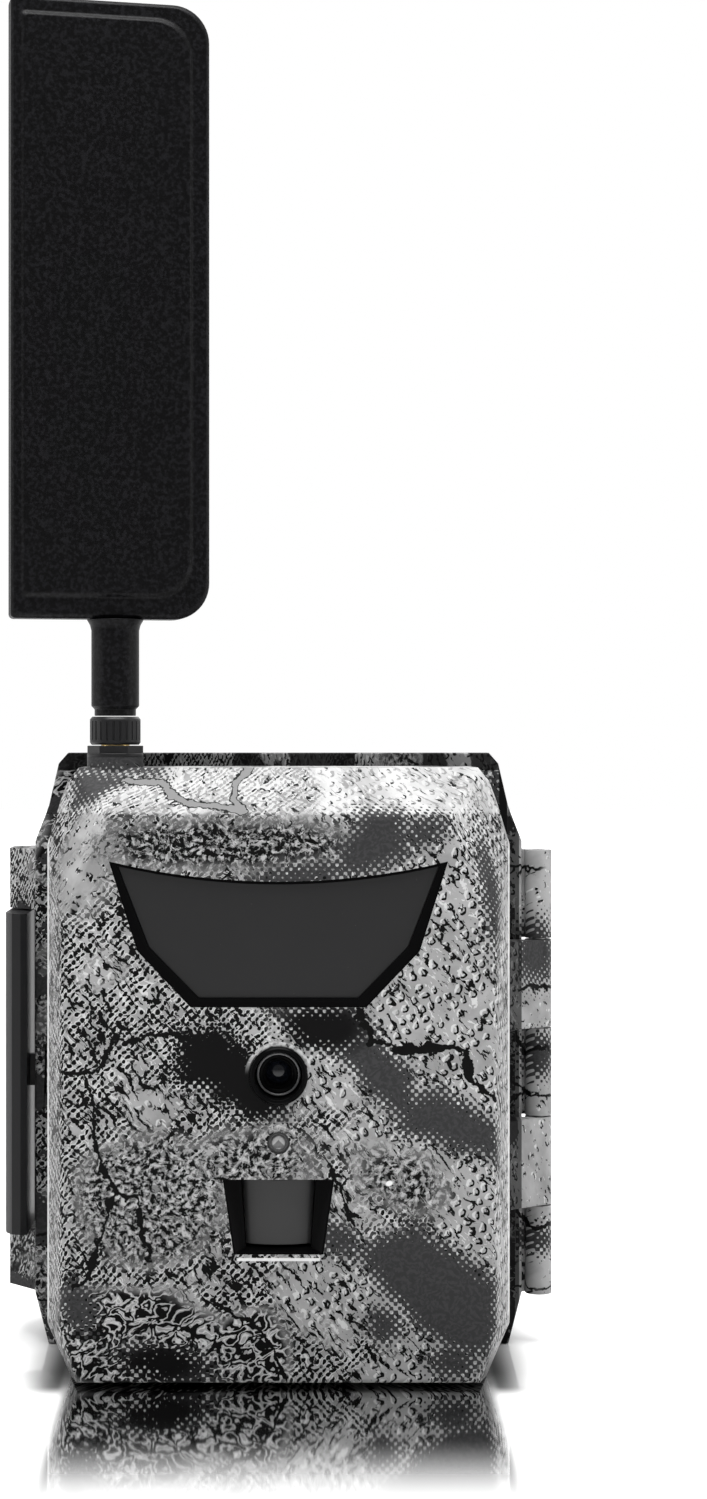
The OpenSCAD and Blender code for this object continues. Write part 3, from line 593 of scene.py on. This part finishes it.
def camo_rear():
    g = Graph("camo_rear")
    flat, bent, (x, y, z) = film_places(g)
    drift = g.math("MULTIPLY_ADD", g.noise(g.scaled(g.place, (1.0, 0.8, 1.5)), 17, 3, 0.5), -80, 43)
    veins = g.add("ShaderNodeTexVoronoi", feature="DISTANCE_TO_EDGE")
    swirl = g.noise(g.place, 9, 4, 0.6, colour=True)
    g.put(veins.inputs["Vector"],
          g.vector("MULTIPLY_ADD", swirl, (9, 9, 9), g.scaled(g.place, (0.7, 0.7, 1.3))))
    veins.inputs["Scale"].default_value = 1 / VEIN_SIZE
    vein = g.math("MULTIPLY", veins.outputs["Distance"], VEIN_SIZE)
    black_lines = g.times(g.step(vein, 0.5, 0.2), g.step(g.noise(g.place, 22, 1), 0.46, 0.52))
    here, patch, split = flange(g, x, z, flat)
    body = g.inverse(here)
    bark = g.times(body, g.step(g.noise(g.place, 30, 1, 0.5), 0.56, 0.62))
    aside = g.scaled(g.place, (1, 1, 1), 0, (40, 0, 0))
    smooth = g.times(body, g.step(g.noise(aside, 26, 1, 0.5), 0.5, 0.6))
    marks = film_marks(g, flat, bent, bark, smooth, here)
    rim = g.step(z, 129.8, 130.2)
    block = g.least([g.math("SUBTRACT", g.math("ABSOLUTE", g.math("SUBTRACT", x, centre)), half)
                     for centre, half in RIM_BLOCKS])
    block = g.math("MULTIPLY_ADD", g.noise(flat, 3, 2), 3, block)
    distance = g.least([away_from(g, g.math("MAXIMUM", here, rim), drift), only_at(g, here, patch)])
    # painted shadow: the gap beside the hinge goes black, and painted shade darkens the strip next to it
    gap_shadow, gap_shade = shadow_gap(g, x, y)
    colour = film(g, LIGHT, 0.2, distance, g.top(black_lines, gap_shadow, split), marks, smooth, flat, bent)
    colour = g.mix(g.times(rim, 0.5), colour, BLACK)
    colour = g.mix(g.times(rim, g.step(block, 2.2, 1.6), 0.9), colour, BLACK)
    # painted shade on the strip beside the hinge gap
    colour = g.mix(g.times(gap_shade, 0.8), colour, BLACK)
    return film_finish(g, colour, 0.45)


# ---- the other materials ----

WEAR = 0.2    # how much of the moulded surfaces' scuffs shows


def moulded(name, colour, rough, grain=0.35, depth=0.3, specular=0.3, mottle=0.0):
    """Moulded plastic or rubber with a spark-eroded grain, slight wear and paler specks, if mottled."""
    g = Graph(name)
    fine = g.noise(g.place, grain, 3, 0.6)
    broad = g.noise(g.place, 14, 3, 0.6)
    scuff = g.step(g.noise(g.scaled(g.place, (1, 1, 0.25)), 2.2, 4, 0.7), 0.62, 0.75)
    shade = g.mix(broad, shade_of(colour, 0.82), shade_of(colour, 1.15))
    shade = g.mix(g.times(scuff, WEAR), shade, shade_of(colour, 1.6, 0.004))
    if mottle:
        speck = g.step(g.noise(g.place, 0.9, 2, 0.6), 0.42, 0.66)
        shade = g.mix(g.times(speck, mottle), shade, shade_of(colour, 5))
    g.bump(fine, depth, 0.0001)
    roughness = g.math("MULTIPLY_ADD", fine, 0.12, rough - 0.06, clamp=True)
    roughness = g.math("MULTIPLY_ADD", g.times(scuff, WEAR), -0.1, roughness, clamp=True)
    return g.finish(colour=shade, roughness=roughness, specular=specular)


def gloss(name, colour, rough):
    """Polished plastic with faint orange peel and fine scratches."""
    g = Graph(name)
    peel = g.noise(g.place, 1.6, 2, 0.5)
    scratch = g.step(g.noise(g.scaled(g.place, (0.3, 1, 5), 20), 0.6, 2, 0.5), 0.66, 0.72)
    shade = g.mix(g.noise(g.place, 9, 2), shade_of(colour, 0.85), shade_of(colour, 1.15))
    g.bump(peel, 0.06, 0.0001)
    return g.finish(colour=shade, roughness=g.math("MULTIPLY_ADD", scratch, 0.07, rough), specular=0.03)


def metal(name, colour, rough):
    """Plated or turned metal with fine drawn lines."""
    g = Graph(name)
    grain = g.noise(g.scaled(g.place, (1, 1, 8)), 0.9, 3, 0.6)
    tarnish = g.step(g.noise(g.place, 6, 4, 0.6), 0.5, 0.8)
    shade = g.mix(g.times(tarnish, 0.5), colour, shade_of(colour, 0.55))
    g.bump(grain, 0.12, 0.00005)
    roughness = g.math("MULTIPLY_ADD", grain, 0.2, rough - 0.1)
    return g.finish(colour=shade, metal=1.0, roughness=g.math("MULTIPLY_ADD", tarnish, 0.15, roughness))


def printed_board(name):
    """Solder mask over copper tracks, with tinned pads."""
    g = Graph(name)
    x, _, z = g.split(g.place)
    flat = g.join(x, z)
    inside, pick = cells(g, flat, 1.1)
    across, along, _ = g.split(inside)
    lane = g.math("LESS_THAN", g.math("ABSOLUTE", across), 0.22)
    row = g.math("LESS_THAN", g.math("ABSOLUTE", along), 0.22)
    which = g.math("GREATER_THAN", g.noise(flat, 9, 1), 0.5)
    track = g.math("ADD", g.times(which, lane), g.times(g.inverse(which), row))
    track = g.times(track, g.math("GREATER_THAN", g.noise(flat, 4, 1), 0.45))
    pad = g.times(g.step(g.vector("LENGTH", inside), 0.34, 0.28), g.math("GREATER_THAN", pick, 0.9))
    mask = g.mix(g.times(track, 0.7), (0.008, 0.07, 0.028), (0.03, 0.17, 0.06))
    colour = g.mix(pad, mask, (0.62, 0.60, 0.55))
    g.bump(track, 0.3, 0.00004)
    return g.finish(colour=colour, roughness=g.math("MULTIPLY_ADD", g.noise(g.place, 1.5), 0.15, 0.25),
                    metal=pad)


def smoked_window(name):
    """Smoked infrared filter: a satin dark face with fine dust."""
    g = Graph(name)
    fine = g.noise(g.place, 0.28, 3, 0.6)
    broad = g.noise(g.place, 20, 2, 0.5)
    dust = g.step(g.noise(g.place, 0.5, 1, 0.5), 0.78, 0.82)
    shade = g.mix(broad, (0.007, 0.007, 0.0073), (0.0088, 0.0088, 0.0092))
    shade = g.mix(g.times(dust, 0.25), shade, (0.12, 0.12, 0.12))
    g.bump(fine, 0.08, 0.00005)
    return g.finish(colour=shade, roughness=g.math("MULTIPLY_ADD", fine, 0.15, 0.38), specular=0.25)


def fresnel_film(name):
    """Translucent sensor film: grey with fine ring ridges behind its face, in three rows."""
    g = Graph(name)
    x, _, z = g.split(g.place)
    inside, _ = cells(g, g.join(x, z), 4.6, 0, (0.5, 0.06, 0))
    ring = g.math("PINGPONG", g.math("MULTIPLY", g.vector("LENGTH", inside), 16), 1.0)
    seam = g.split(g.vector("ABSOLUTE", inside))
    edge = g.step(g.math("MAXIMUM", seam[0], seam[1]), 0.46, 0.5)
    shade = g.mix(g.times(ring, 0.35), (0.011, 0.011, 0.011), (0.0155, 0.0155, 0.016))
    shade = g.mix(g.times(edge, 0.4), shade, (0.009, 0.009, 0.0095))
    g.bump(g.math("ADD", g.times(ring, 0.5), g.noise(g.place, 0.3, 2)), 0.1, 0.00005)
    return g.finish(colour=shade, roughness=g.math("MULTIPLY_ADD", ring, 0.1, 0.42))


def coated_glass(name, colour):
    """Dark coated glass with a faint coloured bloom and smears."""
    g = Graph(name)
    smear = g.noise(g.scaled(g.place, (1, 1, 3), 30), 7, 4, 0.6)
    facing = g.add("ShaderNodeLayerWeight")
    facing.inputs["Blend"].default_value = 0.35
    shade = g.mix(facing.outputs["Facing"], colour, shade_of(colour, 2.5, 0.01))
    g.bump(smear, 0.02, 0.00005)
    return g.finish(colour=shade, roughness=g.step(smear, 0.4, 0.8, (0.03, 0.12)), coat=0.15,
                    coat_roughness=0.05, ior=1.36)


def clear_epoxy(name, colour):
    """Clear moulded lamp body with a cloudy core."""
    g = Graph(name)
    cloud = g.noise(g.place, 1.2, 3, 0.6)
    shade = g.mix(cloud, shade_of(colour, 0.6), colour)
    g.bump(cloud, 0.05, 0.00005)
    return g.finish(colour=shade, roughness=g.math("MULTIPLY_ADD", cloud, 0.12, 0.08), coat=0.6,
                    coat_roughness=0.05)


def status_finish(name):
    """Small clear lamp in a dark collar, with the lead frame showing inside."""
    g = Graph(name)
    x, _, z = g.split(g.place)
    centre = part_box("status_lens")[0].lerp(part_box("status_lens")[1], 0.5) / MM
    away = g.join(g.math("SUBTRACT", x, centre[0]), g.math("SUBTRACT", z, centre[2]))
    out = g.vector("LENGTH", away)
    frame_piece = g.step(g.math("ADD", g.math("ABSOLUTE", g.split(away)[0]), g.split(away)[1]), 0.5, 0.9)
    shade = g.mix(g.noise(g.place, 0.7, 2), (0.06, 0.06, 0.062), (0.13, 0.13, 0.13))
    shade = g.mix(g.times(frame_piece, g.step(out, 1.5, 1.2)), shade, (0.3, 0.3, 0.3))
    shade = g.mix(g.step(out, 1.75, 1.95), shade, (0.004, 0.004, 0.004))
    g.bump(out, 0.1, 0.0002)
    return g.finish(colour=shade, roughness=g.step(out, 1.6, 2.0, (0.15, 0.4)), coat=0.3,
                    coat_roughness=0.05, specular=0.3)


# The lower row of pockets' lower end, from there to the upper row's, and how far up a pocket the copper
# colour starts. It's at the top of every cell, though neighbouring cells point opposite ways
CELL_Z, CELL_STEP, COPPER_Z = 10.4, 56.5, 36


def cell_wrap(name):
    """Battery cells: dark shrink film with a copper-coloured upper end."""
    g = Graph(name)
    _, _, z = g.split(g.place)
    row = g.math("MODULO", g.math("SUBTRACT", z, CELL_Z), CELL_STEP)
    band = g.step(row, COPPER_Z, COPPER_Z + 0.3)
    scuff = g.step(g.noise(g.scaled(g.place, (1, 1, 0.3)), 1.5, 3, 0.6), 0.62, 0.7)
    shade = g.mix(band, (0.018, 0.018, 0.02), (0.50, 0.23, 0.09))
    shade = g.mix(g.times(scuff, 0.2), shade, (0.2, 0.2, 0.2))
    g.bump(g.noise(g.place, 0.8, 2), 0.08, 0.0001)
    return g.finish(colour=shade, roughness=g.math("MULTIPLY_ADD", scuff, 0.2, 0.22),
                    metal=g.times(band, 0.6), coat=0.3, coat_roughness=0.1)


# The floor, in millimetres: half the polished strip's width with and without its faded edge, the y that
# its depth is measured from, the middle and half size of the contact shadow's rectangle, and the
# distances between which the white glow comes in
STRIP_HALF, STRIP_Y = (47, 43), -40.0
SHADOW_Y, SHADOW_HALF = -7, (47, 29, 0)
GLOW_FADE = (300, 1100)


def floor_finish():
    """White acrylic: polished in front of the object, with painted shade dimming the polish close in front
    of it, a painted soft contact shadow round it, and glowing white further away."""
    g = Graph("studio_floor")
    x, y, _ = g.split(g.place)
    wide = g.step(g.math("ABSOLUTE", x), *STRIP_HALF)
    ahead = g.math("SUBTRACT", STRIP_Y, y)
    polish = g.times(wide, g.step(ahead, 100, 34), g.step(y, 10, -25))
    # painted shade: the polish's reflection is dimmed to 0.42 close in front of the object
    reflection_shade = g.times(wide, g.step(g.math("ABSOLUTE", ahead), 45, 2))
    place = g.vector("ABSOLUTE", g.vector("ADD", g.place, (0, -SHADOW_Y, 0)))
    beside = g.vector("LENGTH", g.vector("MAXIMUM", g.vector("SUBTRACT", place, SHADOW_HALF), (0, 0, 0)))
    # painted contact shadow round the object's footprint
    contact_shadow = g.times(g.step(beside, 11, 0), g.inverse(polish))
    away = g.vector("LENGTH", g.join(x, y))
    haze = g.noise(g.place, 300, 2)
    colour = g.mix(reflection_shade, (0.95, 0.95, 0.95), (0.42, 0.42, 0.42))
    colour = g.mix(g.times(contact_shadow, 0.93), colour, (0.05, 0.05, 0.05))
    glow = g.step(away, *GLOW_FADE)
    return g.finish(colour=g.mix(glow, colour, (0, 0, 0)), metal=polish,
                    roughness=g.math("MULTIPLY_ADD", haze, 0.02, 0.035), specular=0.2,
                    emission=g.mix(glow, (0, 0, 0), (1, 1, 1)), emission_strength=1.0)


def make_materials():
    return {
        "camo_rear": camo_rear(),
        "camo_front": camo_front(),
        "black_plastic": moulded("black_plastic", (0.006, 0.006, 0.0065), 0.42, specular=0.2),
        "antenna_plastic": moulded("antenna_plastic", (0.0014, 0.0014, 0.0016), 0.4, grain=0.25,
                                   depth=0.35, specular=0.08, mottle=0.9),
        "bezel_black": gloss("bezel_black", (0.0012, 0.0012, 0.0013), 0.3),
        "ir_filter": smoked_window("ir_filter"),
        "fresnel": fresnel_film("fresnel"),
        "panel_plastic": moulded("panel_plastic", (0.03, 0.031, 0.033), 0.5, grain=0.5),
        "key_plastic": moulded("key_plastic", (0.30, 0.31, 0.32), 0.4, grain=0.6, depth=0.15),
        "seal_rubber": moulded("seal_rubber", (0.016, 0.016, 0.016), 0.72, grain=0.8, depth=0.4),
        "steel": metal("steel", (0.36, 0.36, 0.355), 0.34),
        "brass": metal("brass", (0.72, 0.52, 0.22), 0.28),
        "gold_contact": metal("gold_contact", (0.83, 0.62, 0.25), 0.22),
        "board_green": printed_board("board_green"),
        "cell_wrap": cell_wrap("cell_wrap"),
        "glass_dark": coated_glass("glass_dark", (0.006, 0.007, 0.011)),
        "led_clear": clear_epoxy("led_clear", (0.30, 0.29, 0.30)),
        "card_blue": moulded("card_blue", (0.02, 0.05, 0.17), 0.35, grain=0.5, depth=0.1),
        "card_white": moulded("card_white", (0.72, 0.72, 0.72), 0.4, grain=0.5, depth=0.1),
        "cable_brown": moulded("cable_brown", (0.10, 0.045, 0.02), 0.35, grain=0.4, depth=0.1),
    }


# ---- finishing the CAD parts ----

# Largest edge radius in millimetres; the rest get SMALL_EDGE. Short edges limit it: next to nothing is
# left on tree_bracket, latch_lever, inner_panel, battery_tray, pir_bezel and antenna_coupling_nut
EDGES = {
    "tree_bracket": 0.6, "latch_lever": 0.6, "antenna_front_shell": 0.35, "antenna_back_shell": 0.35,
    "inner_panel": 0.35, "battery_tray": 0.35, "pir_bezel": 0.2, "lens_bezel": 0.15,
    "antenna_stem": 0.15,
}
SMALL_EDGE = 0.12

# On the housings only long edges are rounded: radius, then the zone their middle lies in, which is
# x beyond the first number or z below the second or above the third, and y between the last two
LONG_EDGES = {
    "front_housing": [(1.2, (34, 3, 117, -60, -36))],
    "rear_housing": [(0.9, (-1, 0, 0, 23, 60)), (0.5, (50, 1.5, 131, -1, 1))],
    "ir_bezel": [],    # its edges stay sharp: a bevel there only leaves faces without area
}

FLAT_ANGLE = math.radians(0.6)     # faces closer to flat than this are joined first
ROUND_ANGLE = math.radians(28)     # edges over this are rounded
LONG_ANGLE = math.radians(18)      # and on the housings those over this and LONG_EDGE
LONG_EDGE = 6 * MM
CREASE_ANGLE = math.radians(35)
CAD_WELD = 0.01 * MM
BEVEL_WELD = 0.002 * MM


def edge_nodes(name, build):
    """Geometry nodes that pass the mesh through the node made by build."""
    tree = bpy.data.node_groups.new(name, "GeometryNodeTree")
    for way in ("INPUT", "OUTPUT"):
        tree.interface.new_socket("Geometry", in_out=way, socket_type="NodeSocketGeometry")
    start, end = tree.nodes.new("NodeGroupInput"), tree.nodes.new("NodeGroupOutput")
    middle = build(tree)
    tree.links.new(start.outputs[0], middle.inputs["Geometry"])
    tree.links.new(middle.outputs["Geometry"], end.inputs[0])
    return tree


def edge_math(tree, kind, operation, first, second=None):
    """A math node's result, from numbers or sockets."""
    node = tree.nodes.new(kind)
    node.operation = operation
    for slot, value in enumerate((first, second)):
        if isinstance(value, (int, float)):
            node.inputs[slot].default_value = value
        elif value is not None:
            tree.links.new(value, node.inputs[slot])
    return node.outputs["Vector" if operation == "ADD" else "Value"]


def long_edges(zone):
    """Geometry nodes that mark a zone's long edges for the bevel."""
    def build(tree):
        def plain(operation, first, second=None):
            return edge_math(tree, "ShaderNodeMath", operation, first, second)
        ends = tree.nodes.new("GeometryNodeInputMeshEdgeVertices")
        angle = tree.nodes.new("GeometryNodeInputMeshEdgeAngle").outputs["Unsigned Angle"]
        pair = ends.outputs["Position 1"], ends.outputs["Position 2"]
        length = edge_math(tree, "ShaderNodeVectorMath", "DISTANCE", *pair)
        middle = tree.nodes.new("ShaderNodeSeparateXYZ")
        tree.links.new(edge_math(tree, "ShaderNodeVectorMath", "ADD", *pair), middle.inputs[0])
        x, y, z = middle.outputs
        # x, y and z are sums of two ends, so the zone counts double
        half_x, low_z, high_z, low_y, high_y = (2 * MM * value for value in zone)
        outside = plain("MAXIMUM", plain("GREATER_THAN", plain("ABSOLUTE", x), half_x),
                        plain("MAXIMUM", plain("LESS_THAN", z, low_z), plain("GREATER_THAN", z, high_z)))
        deep = plain("MULTIPLY", plain("GREATER_THAN", y, low_y), plain("LESS_THAN", y, high_y))
        sharp = plain("MULTIPLY", plain("GREATER_THAN", angle, LONG_ANGLE),
                      plain("GREATER_THAN", length, LONG_EDGE))
        store = tree.nodes.new("GeometryNodeStoreNamedAttribute")
        store.data_type, store.domain = "FLOAT", "EDGE"
        store.inputs["Name"].default_value = "bevel_weight_edge"
        tree.links.new(plain("MULTIPLY", plain("MULTIPLY", outside, deep), sharp),
                       store.inputs["Value"])
        return store
    return edge_nodes("long_edges", build)


def crisp_edges():
    """Geometry nodes that shade every edge over CREASE_ANGLE as a crease."""
    def build(tree):
        angle = tree.nodes.new("GeometryNodeInputMeshEdgeAngle").outputs["Unsigned Angle"]
        crease = tree.nodes.new("GeometryNodeSetShadeSmooth")
        crease.domain = "EDGE"
        crease.inputs["Shade Smooth"].default_value = False
        tree.links.new(edge_math(tree, "ShaderNodeMath", "GREATER_THAN", angle, CREASE_ANGLE),
                       crease.inputs["Selection"])
        return crease
    return edge_nodes("crisp_edges", build)


def round_edges(node, radius, limit):
    edge = node.modifiers.new("edges", "BEVEL")
    edge.width = radius * MM
    edge.segments = 3
    edge.limit_method = limit
    edge.angle_limit = ROUND_ANGLE
    edge.use_clamp_overlap = True
    edge.harden_normals = False


def finish_part(node):
    """Rounds a CAD part's sharp edges with modifiers; its own mesh stays as it is."""
    weld = node.modifiers.new("weld", "WELD")
    weld.merge_threshold = CAD_WELD
    flat = node.modifiers.new("flat_faces", "DECIMATE")
    flat.decimate_type = "DISSOLVE"
    flat.angle_limit = FLAT_ANGLE
    for radius, zone in LONG_EDGES.get(node.name, []):
        node.modifiers.new("long_edges", "NODES").node_group = long_edges(zone)
        round_edges(node, radius, "WEIGHT")
    if node.name in LONG_EDGES:
        node.modifiers.new("crisp_edges", "NODES").node_group = crisp_edges()
    else:
        round_edges(node, EDGES.get(node.name, SMALL_EDGE), "ANGLE")
        corners = node.modifiers.new("repeated_corners", "WELD")
        corners.merge_threshold = BEVEL_WELD
    normals = node.modifiers.new("normals", "WEIGHTED_NORMAL")
    normals.weight = 60
    normals.keep_sharp = True
    node.data.shade_smooth()


def dress_parts(materials):
    own = {"status_lens": status_finish("status_lamp")}
    for part in frame["record"]["subparts"]:
        node = nodes[part["node"]]
        node.data.materials.clear()
        node.data.materials.append(own.get(part["node"], materials[part["material_slot"]]))
        finish_part(node)


# ---- small pieces added to the CAD ----

def new_piece(name, built, material, body):
    """Makes a bmesh into a smooth object that rides on a body."""
    mesh = bpy.data.meshes.new(name)
    bmesh.ops.recalc_face_normals(built, faces=built.faces)
    built.to_mesh(mesh)
    built.free()
    mesh.shade_smooth()
    piece = bpy.data.objects.new(name, mesh)
    bpy.context.scene.collection.objects.link(piece)
    mesh.materials.append(material)
    normals = piece.modifiers.new("normals", "WEIGHTED_NORMAL")
    normals.keep_sharp = True
    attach(piece, body)


TURN_STEPS = 72     # points round a turned piece
RING_POINTS = 12    # and round a ring's section


def turned(profile, centre):
    """A closed profile of (radius, depth) in millimetres, turned about an axis along Y."""
    built = bmesh.new()
    rings = []
    for i in range(TURN_STEPS):
        angle = math.tau * i / TURN_STEPS
        rings.append([built.verts.new((centre[0] + radius * MM * math.cos(angle), centre[1] + depth * MM,
                                       centre[2] + radius * MM * math.sin(angle)))
                      for radius, depth in profile])
    for ring, after in zip(rings, rings[1:] + rings[:1]):
        for i in range(len(profile)):
            j = (i + 1) % len(profile)
            built.faces.new((ring[i], ring[j], after[j], after[i]))
    return built


def round_ring(radius, depth, thick, centre):
    """A ring whose section is a circle of radius thick."""
    turns = [math.tau * i / RING_POINTS for i in range(RING_POINTS)]
    return turned([(radius + thick * math.cos(a), depth + thick * math.sin(a)) for a in turns], centre)


# A key's mark: from its middle to a corner, how deep it starts in the key, its height, and its bevel
MARK_SIZE, MARK_DEPTH, MARK_HEIGHT, MARK_BEVEL = 1.35, 0.1 * MM, 0.22 * MM, 0.07 * MM


def key_mark(node, turn):
    """A low raised triangle on a key's face, pointing up when turn is 0."""
    lowest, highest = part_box(node)
    centre = (lowest + highest) / 2
    start = highest.y - MARK_DEPTH
    built = bmesh.new()
    corners = [(math.sin(math.radians(turn + a)) * MARK_SIZE, math.cos(math.radians(turn + a)) * MARK_SIZE)
               for a in (0, 120, 240)]
    face = built.faces.new([built.verts.new((centre.x + u * MM, start, centre.z + v * MM))
                            for u, v in corners])
    raised = bmesh.ops.extrude_face_region(built, geom=[face])
    bmesh.ops.translate(built, vec=(0, MARK_HEIGHT, 0),
                        verts=[e for e in raised["geom"] if isinstance(e, bmesh.types.BMVert)])
    bmesh.ops.bevel(built, geom=built.edges[:], offset=MARK_BEVEL, segments=2, affect="EDGES")
    return built


# The polished ring in the lens opening as a profile, and the baffle rings behind it: radius and depth
TRIM_PROFILE = [(4.15, -0.3), (4.5, -0.35), (4.65, -0.2), (4.65, 0.3), (4.15, 0.3)]
BAFFLES = [(3.45, 0.9), (3.05, 1.7), (2.8, 2.4)]


def make_details(materials):
    lens = (low("lens_bezel") + high("lens_bezel")) / 2
    face = Vector((lens.x, low("lens_barrel").y, lens.z))
    ring = moulded("lens_ring", (0.085, 0.085, 0.087), 0.3, grain=0.3, depth=0.1, specular=0.5)
    new_piece("lens_trim", turned(TRIM_PROFILE, face), ring, "front_body")
    for i, (radius, depth) in enumerate(BAFFLES):
        new_piece(f"lens_baffle_{i + 1}", round_ring(radius, depth, 0.16, face), materials["bezel_black"],
                  "front_body")
    mark = moulded("key_print", (0.7, 0.7, 0.7), 0.5, grain=0.4, depth=0.1)
    for name, turn in (("up", 0), ("right", 90), ("down", 180), ("left", 270)):
        new_piece(f"key_{name}_mark", key_mark(f"key_{name}", turn), mark, f"{name}_key")
    ok_low, ok_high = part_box("key_ok")
    ok_face = Vector(((ok_low.x + ok_high.x) / 2, ok_high.y, (ok_low.z + ok_high.z) / 2))
    new_piece("key_ok_mark", round_ring(1.5, 0.0, 0.14, ok_face), mark, "ok_key")


def make_floor():
    mesh = bpy.data.meshes.new("floor")
    built = bmesh.new()
    bmesh.ops.create_grid(built, x_segments=1, y_segments=1, size=4)
    built.to_mesh(mesh)
    built.free()
    floor = bpy.data.objects.new("floor", mesh)
    floor.location.z = -0.2 * MM
    bpy.context.scene.collection.objects.link(floor)
    mesh.materials.append(floor_finish())


# ---- the scene ----

make_camera()
make_lights()
make_floor()
materials = make_materials()
dress_parts(materials)
make_details(materials)
